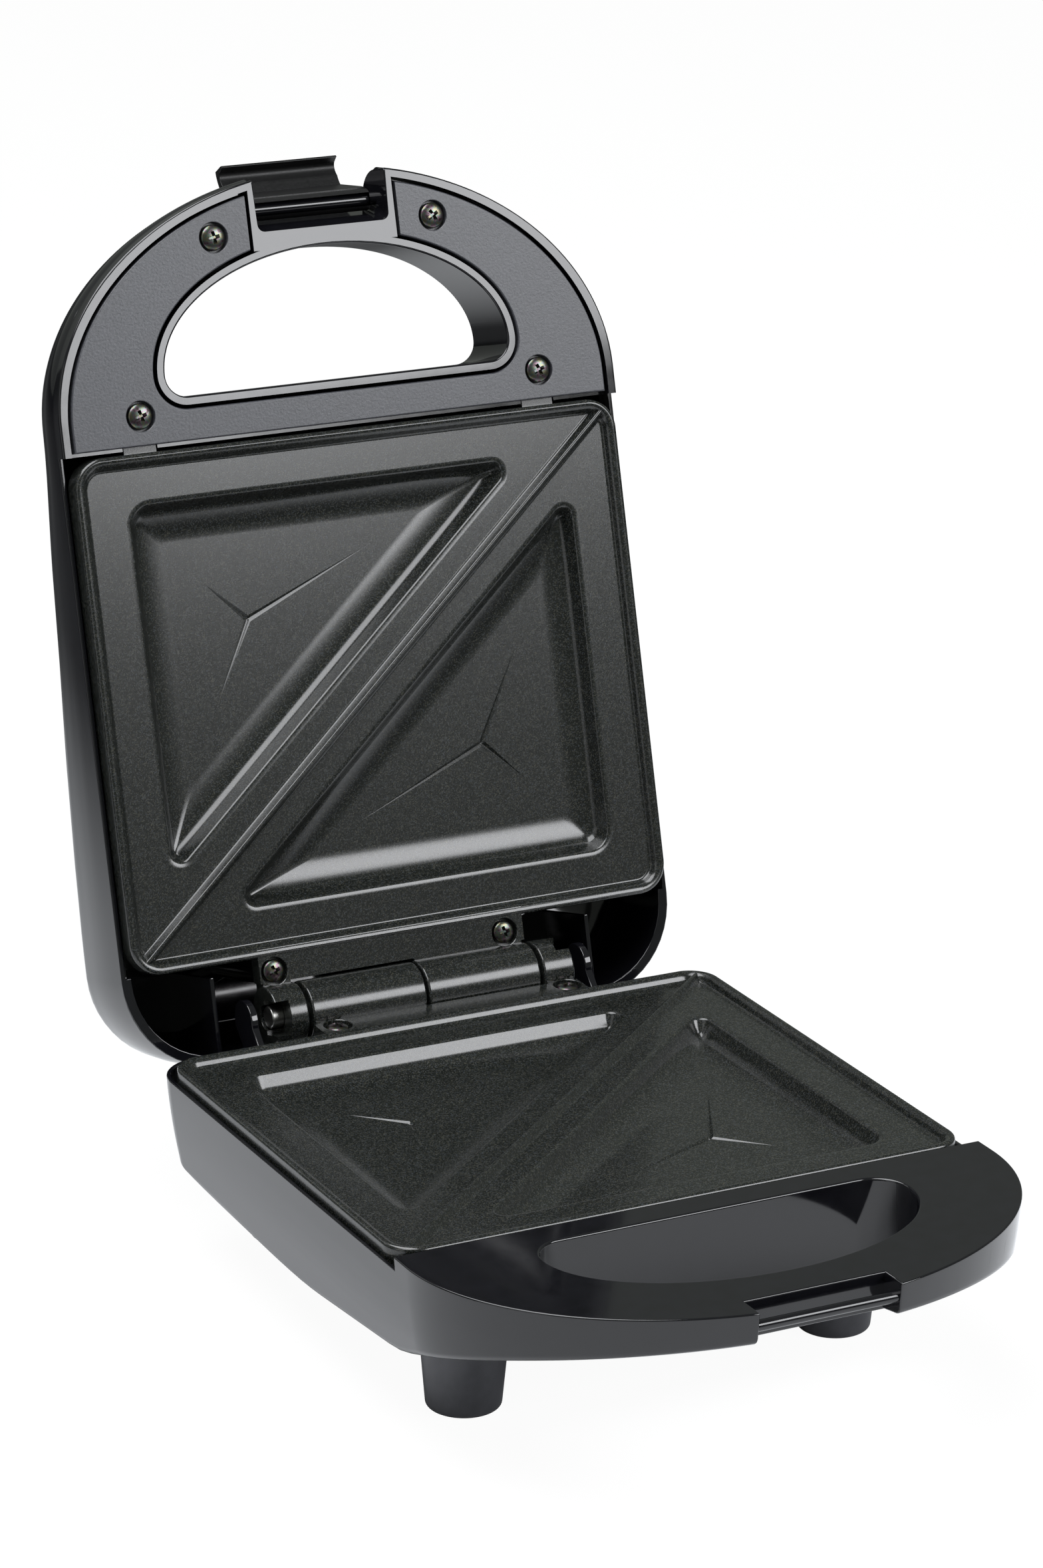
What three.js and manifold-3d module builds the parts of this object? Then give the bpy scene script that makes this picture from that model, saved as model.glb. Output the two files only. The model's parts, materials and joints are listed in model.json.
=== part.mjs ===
import * as THREE from 'three';
import { mergeVertices } from 'three/addons/utils/BufferGeometryUtils.js';
import Module from 'manifold-3d';

const wasm = await Module();
wasm.setup();

// A compact sandwich maker, standing open. Millimetres, x to the right, y to the back, z up.
// Everything is drawn round the hinge plane: z is zero where the two plates meet when shut,
// and y is zero at the back edge of the plates. The lid is drawn shut and then turned open.

// Driving sizes of the plates
const plateWidth = 125;
const plateDepth = 106.9;
const plateSide = 5.5;
const plateCorner = 6.5;
const plateFloor = 2.2;
const rimWidth = 0.95;
const rimSlope = 1.35;
const fieldDrop = 1.8;
const pocketDrop = 6.6;
const pocketSideMargin = 11;
const pocketBackMargin = 9.9;
const pocketRibMargin = 6;
const pocketCorner = 5.5;
const pocketTip = 3;
const pocketSlope = 6.2;
const ribFoot = 2.4;
const ribCrest = 1;
const ribDrop = 0.15;
const starWidth = 1.1;
const starDepth = 0.7;
const tabWidth = 7.2;
const tabInset = 16.5;
const tabLength = 3.8;
const tabThickness = 1.5;
const tabDrop = 3.9;

// Driving sizes of the hinge
const hingeBack = 12.43;
const openAngle = THREE.MathUtils.degToRad(105.57);
const barrelRadius = 6.5;
const barrelInner = 0.3;
const barrelOuter = 26.6;
const knuckleInner = 27.5;
const knuckleOuter = 34.7;
const flangeDrop = 0.35;
const flangeThickness = 3.65;
const flangeStop = 5.4;
const pinRadius = 2.4;
const pinInner = 10.5;
const pinOuter = 34.2;
const windowLength = 3.2;
const windowHalf = 3.6;
const barrelScrewInset = 4.1;
const knuckleScrewInset = 3.4;
const flangeScrewBack = 3.15;

// Driving sizes of both shells
const shellWall = 2.2;
const rimWall = 1;
const plateSideGap = 0.5;
const handleShoulder = 6.7;
const handleReach = 48;
const plateNest = 6.3;

// Driving sizes of the base
const baseRear = 5.4;
const baseCorner = 10;
const baseBelly = 26;
const baseTaper = 3.7;
const baseEdge = 1.6;
const baseRimDrop = 2.8;
const baseHandleRise = 0.15;
const baseFrontGap = 1.8;
const baseNotchHalf = 15;
const baseNotchDepth = 7.4;
const barInset = 3.2;
const barDrop = 3.2;
const barRadius = 1.1;
const lugGap = 3.5;
const lugThickness = 1.6;
const lugRadius = 4.5;
const stopPlace = 30;
const stopThickness = 3;
const stopReach = 17;

// Driving sizes of the lid
const lidRear = 21;
const lidCorner = 20;
const lidRimRise = 3.8;
const lidHandleRise = 1.25;
const lidFrontGap = 0.7;
const lidHeight = 29.4;
const lidShoulder = 7;
const lidCrown = 2.4;
const lidBulge = 0.4;
const lidNotchHalf = 15.1;
const lidNotchEnd = 16.5;
const lidNotchDepth = 12.2;
const latchRodInset = 7.5;
const latchRodRise = 7.8;
const latchRodRadius = 1.15;
const innerRibGap = 9.3;
const innerRibThickness = 1;
const innerRibFront = 2.8;

// Driving sizes of the half-moon hand openings
const moonSide = 24.5;
const moonShoulder = 8.4;
const moonGrip = 16.1;
const moonCorner = 7;
const moonLip = 1.75;
const lidMoonShoulder = 4.6;

// Driving sizes of the matte cover on the lid's handle
const coverThickness = 2.2;
const coverSideRim = 1.9;
const coverFrontRim = 1.8;
const coverShoulder = 0.8;
const coverBackGap = 0.7;
const coverGap = 0.35;
const coverScrewFrontPlace = 25.2;
const coverScrewFrontInset = 12.4;
const coverScrewRearSide = 18;
const coverScrewRearInset = 3;

// Driving sizes of the latch, drawn lying open, round its rod
const latchHalf = 13.4;
const latchRing = 2.9;
const latchWall = 1.9;
const latchWallBack = 2.4;
const latchRise = 12.2;
const latchHookBack = 10.2;
const latchHookRise = 16.3;
const latchLip = 1.6;
const latchMouth = 2.2;

// Driving sizes of the feet
const footSide = 22.7;
const footFrontInset = 13.9;
const footRearSide = 26;
const footRear = 4.5;
const ground = 41.3;
const footTop = 9.3;
const footBottom = 7.5;
const footEdge = 1;
const footStud = 2.5;
const footStudRise = 4.5;
const footBlend = 20;

// Driving sizes of what the shells hold
const elementRadius = 2.75;
const elementSide = 4.7;
const elementBend = 12.3;
const elementEnd = 7;
const elementPin = 1.2;
const elementPinLength = 5;
const reflectorDrop = 12.5;
const reflectorSheet = 0.8;
const reflectorLip = 2.4;
const reflectorMargin = 4.5;
const reflectorFrontMargin = 10;
const reflectorSideMargin = 3.2;
const postSide = 22.5;
const postRearBack = 25;
const postFrontInset = 21.9;
const postRadius = 3;
const thermostatRadius = 7.5;
const thermostatHeight = 6;
const bracketSpan = 12;
const bracketWidth = 7;
const bracketSheet = 0.8;
const fuseRadius = 2;
const fuseHalf = 8;
const fuseBack = 50;
const clipHalf = 3;
const clipSheet = 0.8;
const clipFoot = 4;
const terminalHalf = 12;
const terminalDepth = 12;
const terminalHeight = 5;
const terminalBack = 8;
const terminalDrop = 19.3;
const terminalBore = 1.5;
const terminalPitch = 8;
const glandDrop = 12.6;
const glandFlange = 6.5;
const glandNeck = 4.7;
const glandBore = 3.2;
const glandProud = 2;
const glandInside = 4;
const glandNutRadius = 6;
const glandNutThickness = 2.5;
const lensRadius = 3.2;
const lensFlange = 4.6;
const lensFlangeHeight = 1;
const lensDepth = 8;
const lensProud = 0.6;
const lensWall = 0.6;
const lampRadius = 2.2;
const lampLength = 7;
const lampPlace = 10;
const lampBack = 14;

// Driving sizes of the screws
const flangeHead = 2.4;
const coverHead = 2.7;
const smallHead = 2.6;
const headHeight = 1.5;
const headDish = 0.5;
const screwShank = 1.3;
const flangeScrewLength = 11;
const coverScrewLength = 9;
const smallScrewLength = 7;
const crossWidth = 0.8;
const crossReach = 1.5;
const crossDepth = 0.9;
const bossWall = 1.7;

// Clearances, one overrun for every cut, and a short one where a thin wall stands behind
const seat = 0.3;
const rimGap = 0.15;
const driverGap = 0.4;
const overrun = 5;
const skim = 0.5;

// Sizes and places that follow from those above
const tabPlace = plateWidth / 2 - tabInset;
const flangeScrewNear = barrelOuter - barrelScrewInset;
const flangeScrewFar = knuckleOuter - knuckleScrewInset;
const shellHalf = plateWidth / 2 + plateSideGap + rimWall;
const handleStart = plateDepth + handleShoulder;
const handleEnd = handleStart + handleReach;
const baseHandleFront = plateDepth + baseFrontGap;
const baseNotchFloor = handleEnd - baseNotchDepth;
const barBack = handleEnd - barInset;
const lugInner = knuckleOuter + lugGap;
const lidHandleFront = plateDepth + lidFrontGap;
const lidNotchFloor = handleEnd - lidNotchDepth;
const latchRodBack = handleEnd - latchRodInset;
const innerRibPlace = knuckleOuter + innerRibGap;
const moonHalf = shellHalf - moonSide;
const moonStart = handleStart + moonShoulder;
const moonReach = handleEnd - moonGrip - moonStart;
const baseMoonBack = moonStart - moonCorner;
const lidMoonBack = moonStart - lidMoonShoulder;
const coverHalf = shellHalf - coverSideRim;
const coverStart = handleStart - coverShoulder;
const coverReach = handleEnd - coverFrontRim - coverStart;
const coverBack = lidHandleFront + coverBackGap;
const coverScrewFrontBack = handleEnd - coverScrewFrontInset;
const coverScrewRearPlace = shellHalf - coverScrewRearSide;
const coverScrewRearBack = lidMoonBack - coverScrewRearInset;
const footPlace = shellHalf - footSide;
const footFront = plateDepth - footFrontInset;
const footRearPlace = shellHalf - footRearSide;
const postPlace = plateWidth / 2 - postSide;
const postFrontBack = plateDepth - postFrontInset;

// How finely round forms are drawn
const arcSteps = 5;
const sideSteps = 6;
const moonSteps = 11;
const boltSides = 12;
const barrelSides = 24;
const pinSides = 8;
const elementSides = 8;
const elementSteps = 42;

// Share of an edge's radius that a point half way round it stands in
const roundShare = 1 - Math.SQRT1_2;

// Shares of the base's length from back to front, and of its greatest depth there
const bellyShares = [
  [0, 0.86],
  [0.08, 0.923],
  [0.224, 0.973],
  [0.386, 1],
  [0.487, 0.95],
  [0.589, 0.885],
  [0.661, 0.827],
  [0.713, 0.715],
  [0.805, 0.535],
  [0.871, 0.419],
  [0.9425, 0.319],
  [1, 0.25],
];

// Shares of the lid's length from back to front, and of its greatest height there
const crownShares = [
  [0, 0.99],
  [0.132, 1],
  [0.208, 0.976],
  [0.257, 0.952],
  [0.361, 0.884],
  [0.476, 0.782],
  [0.586, 0.701],
  [0.706, 0.58],
  [0.8, 0.555],
  [1, 0.54],
];

// Shares of the way up the base's side, and of its taper there
const taperShares = [
  [0, 0],
  [0.3, 0.18],
  [0.6, 0.47],
  [1, 1],
];

const group = new THREE.Group();

const materials = {
  glossBlack: new THREE.MeshStandardMaterial({ color: 0x0c0c0d, roughness: 0.18, metalness: 0 }),
  matteGrey: new THREE.MeshStandardMaterial({ color: 0x3a3a3c, roughness: 0.75, metalness: 0 }),
  satinBlack: new THREE.MeshStandardMaterial({ color: 0x1b1b1c, roughness: 0.5, metalness: 0 }),
  coating: new THREE.MeshStandardMaterial({ color: 0x4a4a4b, roughness: 0.45, metalness: 0.35 }),
  steel: new THREE.MeshStandardMaterial({ color: 0xa9a9a6, roughness: 0.35, metalness: 1 }),
  darkSteel: new THREE.MeshStandardMaterial({ color: 0x5b5853, roughness: 0.35, metalness: 1 }),
  ceramic: new THREE.MeshStandardMaterial({ color: 0xd9d4c8, roughness: 0.6, metalness: 0 }),
  redLens: new THREE.MeshStandardMaterial({ color: 0xa01814, roughness: 0.2, metalness: 0 }),
  greenLens: new THREE.MeshStandardMaterial({ color: 0x1f7a35, roughness: 0.2, metalness: 0 }),
  lampGlass: new THREE.MeshStandardMaterial({ color: 0xd8d2c4, roughness: 0.15, metalness: 0 }),
};

// Turns a closed geometry into a solid for cutting and joining
function toSolid(geometry) {
  const bare = geometry.clone();
  bare.deleteAttribute('normal');
  bare.deleteAttribute('uv');
  const merged = mergeVertices(bare);
  return new wasm.Manifold(new wasm.Mesh({
    numProp: 3,
    vertProperties: new Float32Array(merged.attributes.position.array),
    triVerts: new Uint32Array(merged.index.array),
  }));
}

function toGeometry(body) {
  const mesh = body.getMesh();
  const geometry = new THREE.BufferGeometry();
  geometry.setAttribute('position', new THREE.BufferAttribute(mesh.vertProperties, 3));
  geometry.setIndex(new THREE.BufferAttribute(mesh.triVerts, 1));
  geometry.computeVertexNormals();
  return geometry;
}

function joined(bodies) {
  return bodies.reduce((sum, body) => sum.add(body));
}

function cut(body, tools) {
  return tools.reduce((rest, tool) => rest.subtract(tool), body);
}

function block(xRange, yRange, zRange) {
  const [x0, x1] = xRange;
  const [y0, y1] = yRange;
  const [z0, z1] = zRange;
  const geometry = new THREE.BoxGeometry(x1 - x0, y1 - y0, z1 - z0);
  geometry.translate((x0 + x1) / 2, (y0 + y1) / 2, (z0 + z1) / 2);
  return toSolid(geometry);
}

// A cylinder standing on z, at a place in x and y
function post(radius, x, y, zRange, sides = boltSides) {
  const geometry = new THREE.CylinderGeometry(radius, radius, zRange[1] - zRange[0], sides);
  geometry.rotateX(Math.PI / 2);
  geometry.translate(x, y, (zRange[0] + zRange[1]) / 2);
  return toSolid(geometry);
}

// A cylinder lying along x, at a place in y and z
function axle(radius, xRange, y, z, sides = boltSides) {
  const geometry = new THREE.CylinderGeometry(radius, radius, xRange[1] - xRange[0], sides);
  geometry.rotateZ(Math.PI / 2);
  geometry.translate((xRange[0] + xRange[1]) / 2, y, z);
  return toSolid(geometry);
}

// A cylinder lying along y, at a place in x and z
function spigot(radius, yRange, x, z, sides = boltSides) {
  const geometry = new THREE.CylinderGeometry(radius, radius, yRange[1] - yRange[0], sides);
  geometry.translate(x, (yRange[0] + yRange[1]) / 2, z);
  return toSolid(geometry);
}

// A flat outline raised from one height to another
function slab(points, zRange) {
  const geometry = new THREE.ExtrudeGeometry(new THREE.Shape(points), {
    depth: zRange[1] - zRange[0],
    bevelEnabled: false,
  });
  geometry.translate(0, 0, zRange[0]);
  return toSolid(geometry);
}

// A profile in y and z drawn out along x
function sideProfile(points, xRange) {
  const geometry = new THREE.ExtrudeGeometry(new THREE.Shape(points), {
    depth: xRange[1] - xRange[0],
    bevelEnabled: false,
  });
  const turn = new THREE.Matrix4().makeBasis(
    new THREE.Vector3(0, 1, 0),
    new THREE.Vector3(0, 0, 1),
    new THREE.Vector3(1, 0, 0),
  );
  geometry.applyMatrix4(turn);
  geometry.translate(xRange[0], 0, 0);
  return toSolid(geometry);
}

// A profile of radius and height spun about z, listed from the bottom to the top
function turned(profile, sides = boltSides) {
  const points = profile.map(([radius, height]) => new THREE.Vector2(radius, height));
  const geometry = new THREE.LatheGeometry(points, sides);
  geometry.rotateX(Math.PI / 2);
  return toSolid(geometry);
}

function movedSolid(body, x, y, z) {
  const geometry = toGeometry(body);
  geometry.translate(x, y, z);
  return toSolid(geometry);
}

// Joins rings of points, lowest first, each ring anticlockwise seen from above
function loft(rings, lid) {
  const count = rings[0].length;
  const positions = rings.flat().flatMap((point) => [point.x, point.y, point.z]);
  const index = [];
  for (let level = 0; level < rings.length - 1; level += 1) {
    for (let step = 0; step < count; step += 1) {
      const next = (step + 1) % count;
      const low = level * count;
      const high = low + count;
      index.push(low + step, low + next, high + next);
      index.push(low + step, high + next, high + step);
    }
  }
  const top = (rings.length - 1) * count;
  for (const [first, second, third] of lid) {
    index.push(first, third, second);
    index.push(top + first, top + second, top + third);
  }
  const geometry = new THREE.BufferGeometry();
  geometry.setAttribute('position', new THREE.Float32BufferAttribute(positions, 3));
  geometry.setIndex(index);
  return toSolid(geometry);
}

// Triangles that close a ring whose left half mirrors its right half
function ladder(count) {
  const half = (count - 1) / 2;
  const triangles = [];
  for (let step = 0; step < half - 1; step += 1) {
    triangles.push([step, step + 1, count - 2 - step]);
    triangles.push([step, count - 2 - step, count - 1 - step]);
  }
  triangles.push([half - 1, half, half + 1]);
  return triangles;
}

function fan(points) {
  const flat = points.map((point) => new THREE.Vector2(point.x, point.y));
  return THREE.ShapeUtils.triangulateShape(flat, []);
}

function shareAt(shares, place) {
  const last = shares.length - 1;
  if (place <= shares[0][0]) {
    return shares[0][1];
  }
  for (let step = 1; step <= last; step += 1) {
    const [from, low] = shares[step - 1];
    const [to, high] = shares[step];
    if (place <= to) {
      return low + (high - low) * (place - from) / (to - from);
    }
  }
  return shares[last][1];
}

// One point of a shell's plan, which is a straight-sided box with round back corners and a
// half-oval handle in front. Zero is the middle of the front, and the last is the back corner.
function planPoint(step, inset, rear, corner) {
  if (step <= moonSteps) {
    const angle = (Math.PI / 2) * (step / moonSteps);
    const x = (shellHalf - inset) * Math.sin(angle);
    return new THREE.Vector2(x, -handleStart - (handleReach - inset) * Math.cos(angle));
  }
  const radius = Math.max(corner - inset, shellWall / 2);
  const back = rear - inset - radius;
  if (step <= moonSteps + sideSteps) {
    const share = (step - moonSteps) / sideSteps;
    return new THREE.Vector2(shellHalf - inset, -handleStart + (back + handleStart) * share);
  }
  const angle = (Math.PI / 2) * ((step - moonSteps - sideSteps) / arcSteps);
  const centre = shellHalf - inset - radius;
  return new THREE.Vector2(centre + radius * Math.cos(angle), back + radius * Math.sin(angle));
}

const planHalf = moonSteps + sideSteps + arcSteps;
const planCount = 2 * planHalf + 1;
const planLid = ladder(planCount);

// A ring of the plan, where place(y) gives the height and the inset at each point
function planRing(place, rear, corner) {
  const ring = [];
  for (let step = 0; step < planCount; step += 1) {
    const side = step < planHalf ? -1 : 1;
    const half = Math.abs(step - planHalf);
    const spot = planPoint(half, 0, rear, corner);
    const { height, inset } = place(spot.y);
    const point = planPoint(half, inset, rear, corner);
    ring.push(new THREE.Vector3(side * point.x, point.y, height));
  }
  return ring;
}

const baseLength = baseRear + handleEnd;
const lidLength = lidRear + handleEnd;

function bellyAt(y) {
  return baseBelly * shareAt(bellyShares, (baseRear - y) / baseLength);
}

function crownAt(y) {
  return lidHeight * shareAt(crownShares, (lidRear - y) / lidLength);
}

function taperAt(drop) {
  return baseTaper * shareAt(taperShares, drop / baseBelly);
}

// The base as a filled form: thinner shells have the same form with an inset and a raised floor
function baseForm(inset, floorRise, top) {
  const edgeShares = [
    [0, 1],
    [roundShare, roundShare],
    [1, 0],
  ];
  const rings = edgeShares.map(([riseShare, insetShare]) => planRing((y) => {
    const drop = bellyAt(y) - floorRise - baseEdge * riseShare;
    return { height: -drop, inset: inset + taperAt(drop) + baseEdge * insetShare };
  }, baseRear, baseCorner));
  const wallShares = [0.75, 0.5, 0.25];
  for (const share of wallShares) {
    rings.push(planRing((y) => {
      const drop = (bellyAt(y) - floorRise - baseEdge) * share;
      return { height: -drop, inset: inset + taperAt(drop) };
    }, baseRear, baseCorner));
  }
  rings.push(planRing(() => ({ height: top, inset }), baseRear, baseCorner));
  return loft(rings, planLid);
}

// The lid as a filled form, from a flat underside to its crowned top
function lidForm(inset, bottom, topDrop) {
  const rise = (y) => crownAt(y) - topDrop;
  const shoulder = lidShoulder - inset;
  const rings = [planRing(() => ({ height: bottom, inset }), lidRear, lidCorner)];
  const sideShares = [
    [0.4, 1],
    [1, 0],
  ];
  for (const [share, bulgeShare] of sideShares) {
    rings.push(planRing((y) => ({
      height: lidRimRise + (rise(y) - shoulder - lidRimRise) * share,
      inset: inset - lidBulge * bulgeShare,
    }), lidRear, lidCorner));
  }
  const turnShares = [1 / 3, 2 / 3, 1];
  for (const share of turnShares) {
    const angle = (Math.PI / 2) * share;
    rings.push(planRing((y) => ({
      height: rise(y) - shoulder * (1 - Math.sin(angle)),
      inset: inset + shoulder * (1 - Math.cos(angle)),
    }), lidRear, lidCorner));
  }
  const topShares = [
    [0.3, 0.5],
    [0.65, 0.9],
  ];
  for (const [insetShare, crownShare] of topShares) {
    rings.push(planRing((y) => ({
      height: rise(y) + lidCrown * crownShare,
      inset: inset + shoulder + (handleReach - lidShoulder) * insetShare,
    }), lidRear, lidCorner));
  }
  return loft(rings, planLid);
}

// A polygon whose corners are rounded, after each side has moved in by the inset
function roundedPolygon(corners, radii, inset, steps) {
  const count = corners.length;
  const moved = corners.map((corner, place) => {
    const before = corners[(place + count - 1) % count];
    const after = corners[(place + 1) % count];
    const into = corner.clone().sub(before).normalize();
    const away = after.clone().sub(corner).normalize();
    const bend = Math.acos(THREE.MathUtils.clamp(into.dot(away), -1, 1));
    const spread = inset / Math.cos(bend / 2);
    const middle = new THREE.Vector2(-into.y - away.y, into.x + away.x).normalize();
    return { point: corner.clone().addScaledVector(middle, spread), into, away, bend };
  });
  return moved.flatMap(({ point, into, away, bend }, place) => {
    const radius = Math.max(radii[place] - inset, radii[place] / 4);
    const reach = radius * Math.tan(bend / 2);
    const start = point.clone().addScaledVector(into, -reach);
    const centre = start.clone().add(new THREE.Vector2(-into.y, into.x).multiplyScalar(radius));
    const from = Math.atan2(-into.x, into.y);
    const arc = [];
    for (let step = 0; step <= steps; step += 1) {
      const angle = from + bend * (step / steps);
      arc.push(new THREE.Vector2(centre.x + radius * Math.cos(angle), centre.y + radius * Math.sin(angle)));
    }
    return arc;
  });
}

function levelRing(points, z) {
  return points.map((point) => new THREE.Vector3(point.x, point.y, z));
}

function rectangle(xRange, yRange) {
  return [
    new THREE.Vector2(xRange[0], yRange[0]),
    new THREE.Vector2(xRange[1], yRange[0]),
    new THREE.Vector2(xRange[1], yRange[1]),
    new THREE.Vector2(xRange[0], yRange[1]),
  ];
}

// The half-moon outline: an oval front and a straight back, with rounded corners between
function moonOutline(half, reach, back, corner) {
  const points = [];
  for (let step = 0; step <= 2 * moonSteps; step += 1) {
    const angle = Math.PI + Math.PI * (step / (2 * moonSteps));
    points.push(new THREE.Vector2(half * Math.cos(angle), -moonStart + reach * Math.sin(angle)));
  }
  const sides = [1, -1];
  for (const side of sides) {
    for (let step = 0; step <= arcSteps; step += 1) {
      const turn = (Math.PI / 2) * (step / arcSteps);
      const angle = side > 0 ? turn : Math.PI / 2 + turn;
      const x = side * (half - corner) + corner * Math.cos(angle);
      const y = -back - corner + corner * Math.sin(angle);
      if (y > -moonStart + seat) {
        points.push(new THREE.Vector2(x, y));
      }
    }
  }
  return points;
}

function turnedOver(body) {
  const geometry = toGeometry(body);
  geometry.rotateY(Math.PI);
  return toSolid(geometry);
}

function addMesh(parent, name, body, material) {
  const mesh = new THREE.Mesh(toGeometry(body), material);
  mesh.name = name;
  parent.add(mesh);
  return mesh;
}

// A screw with a dished round head and a cross recess, head up, seated at z zero
function screw(headRadius, length) {
  const body = turned([
    [0, -length],
    [screwShank / 2, -length],
    [screwShank, -length + screwShank],
    [screwShank, 0],
    [headRadius, 0],
    [headRadius, headHeight - headDish],
    [headRadius - headDish, headHeight],
    [0, headHeight],
  ]);
  const reach = [-crossReach, crossReach];
  const half = [-crossWidth / 2, crossWidth / 2];
  const deep = [headHeight - crossDepth, headHeight + overrun];
  return cut(body, [block(reach, half, deep), block(half, reach, deep)]);
}

// Plates. Both castings are the same: the upper one is the lower one turned over.
const rimTop = -rimGap;
const field = rimTop - fieldDrop;
const pocketBottom = rimTop - pocketDrop;
const plateUnder = rimTop - plateSide;
const bulgeUnder = pocketBottom - plateFloor;
const plateHalf = plateWidth / 2;
const diagonal = new THREE.Vector2(plateWidth, plateDepth).normalize();
const diagonalNormal = new THREE.Vector2(-diagonal.y, diagonal.x);
const plateCentre = new THREE.Vector2(0, -plateDepth / 2);

// Where the diagonal, moved sideways, crosses a line of constant x or y
function diagonalAtX(x, shift) {
  const start = plateCentre.clone().addScaledVector(diagonalNormal, shift);
  return start.y + (x - start.x) * (diagonal.y / diagonal.x);
}

function diagonalAtY(y, shift) {
  const start = plateCentre.clone().addScaledVector(diagonalNormal, shift);
  return start.x + (y - start.y) * (diagonal.x / diagonal.y);
}

const pocketLeft = -plateHalf + pocketSideMargin;
const pocketRear = -pocketBackMargin;
const pocketCorners = [
  new THREE.Vector2(pocketLeft, pocketRear),
  new THREE.Vector2(pocketLeft, diagonalAtX(pocketLeft, pocketRibMargin)),
  new THREE.Vector2(diagonalAtY(pocketRear, pocketRibMargin), pocketRear),
];
const pocketRadii = [pocketCorner, pocketTip, pocketTip];

function halfTurned(points) {
  return points.map((point) => new THREE.Vector2(-point.x, -plateDepth - point.y));
}

// The wall of a pocket falls steeply from its edge and runs out into the floor
const pocketWallShares = [
  [0, 0],
  [0.12, 0.22],
  [0.55, 0.8],
  [1, 1],
];

function pocketForm(corners) {
  const rings = pocketWallShares.map(([insetShare, dropShare]) => {
    const outline = roundedPolygon(corners, pocketRadii, pocketSlope * insetShare, arcSteps);
    return levelRing(outline, field + (pocketBottom - field) * dropShare);
  });
  const mouth = levelRing(roundedPolygon(corners, pocketRadii, 0, arcSteps), overrun);
  const all = [...rings.reverse(), mouth];
  return loft(all, fan(all[0]));
}

function bulgeForm(corners) {
  const rings = pocketWallShares.map(([insetShare, dropShare]) => {
    const inset = pocketSlope * insetShare - plateFloor;
    const outline = roundedPolygon(corners, pocketRadii.map((radius) => radius + plateFloor), inset, arcSteps);
    return levelRing(outline, field + (pocketBottom - field) * dropShare - plateFloor);
  });
  const all = rings.reverse();
  return loft(all, fan(all[0]));
}

// One leg of the star pressed in a pocket's floor, widest and deepest at the star's middle
function starLeg(centre, tip) {
  const away = tip.clone().sub(centre).normalize();
  const across = new THREE.Vector2(-away.y, away.x).multiplyScalar(starWidth / 2);
  const start = centre.clone().addScaledVector(away, -starWidth / 2);
  const proud = pocketBottom + starDepth / 2;
  const points = [
    new THREE.Vector3(start.x + across.x, start.y + across.y, proud),
    new THREE.Vector3(start.x - across.x, start.y - across.y, proud),
    new THREE.Vector3(tip.x, tip.y, proud),
    new THREE.Vector3(start.x, start.y, pocketBottom - starDepth),
  ];
  const geometry = new THREE.BufferGeometry();
  geometry.setAttribute('position', new THREE.Float32BufferAttribute(points.flatMap((point) => point.toArray()), 3));
  geometry.setIndex([0, 1, 2, 0, 3, 1, 1, 3, 2, 2, 3, 0]);
  return toSolid(geometry);
}

const starCentreShares = [0.298, 0.346];
const starTipShares = [
  [0.222, 0.261],
  [0.548, 0.225],
  [0.213, 0.53],
];

function platePlace(shares) {
  return new THREE.Vector2(-plateHalf + plateWidth * shares[0], -plateDepth * shares[1]);
}

function plateBlank() {
  const outline = (inset) => roundedPolygon(
    rectangle([-plateHalf, plateHalf], [-plateDepth, 0]),
    [plateCorner, plateCorner, plateCorner, plateCorner],
    inset,
    arcSteps,
  );
  const slabBody = slab(outline(0), [plateUnder, rimTop]);
  const dishRings = [
    levelRing(outline(rimWidth + rimSlope), field),
    levelRing(outline(rimWidth), rimTop),
    levelRing(outline(rimWidth), overrun),
  ];
  const dish = loft(dishRings, fan(dishRings[0]));
  return { body: slabBody.subtract(dish), outline };
}

function diagonalRib(outline) {
  const reach = plateWidth;
  const foot = ribFoot / 2;
  const crest = ribCrest / 2;
  const low = field - plateFloor / 2;
  const high = rimTop - ribDrop;
  const profile = [
    new THREE.Vector2(-foot, low),
    new THREE.Vector2(foot, low),
    new THREE.Vector2(foot, field),
    new THREE.Vector2(crest, high),
    new THREE.Vector2(-crest, high),
    new THREE.Vector2(-foot, field),
  ];
  const geometry = new THREE.ExtrudeGeometry(new THREE.Shape(profile), { depth: 2 * reach, bevelEnabled: false });
  geometry.translate(0, 0, -reach);
  const along = new THREE.Vector3(diagonal.x, diagonal.y, 0);
  const up = new THREE.Vector3(0, 0, 1);
  const across = new THREE.Vector3().crossVectors(up, along);
  geometry.applyMatrix4(new THREE.Matrix4().makeBasis(across, up, along));
  geometry.translate(plateCentre.x, plateCentre.y, 0);
  return toSolid(geometry).intersect(slab(outline(rimWidth / 2), [plateUnder, rimTop]));
}

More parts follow.
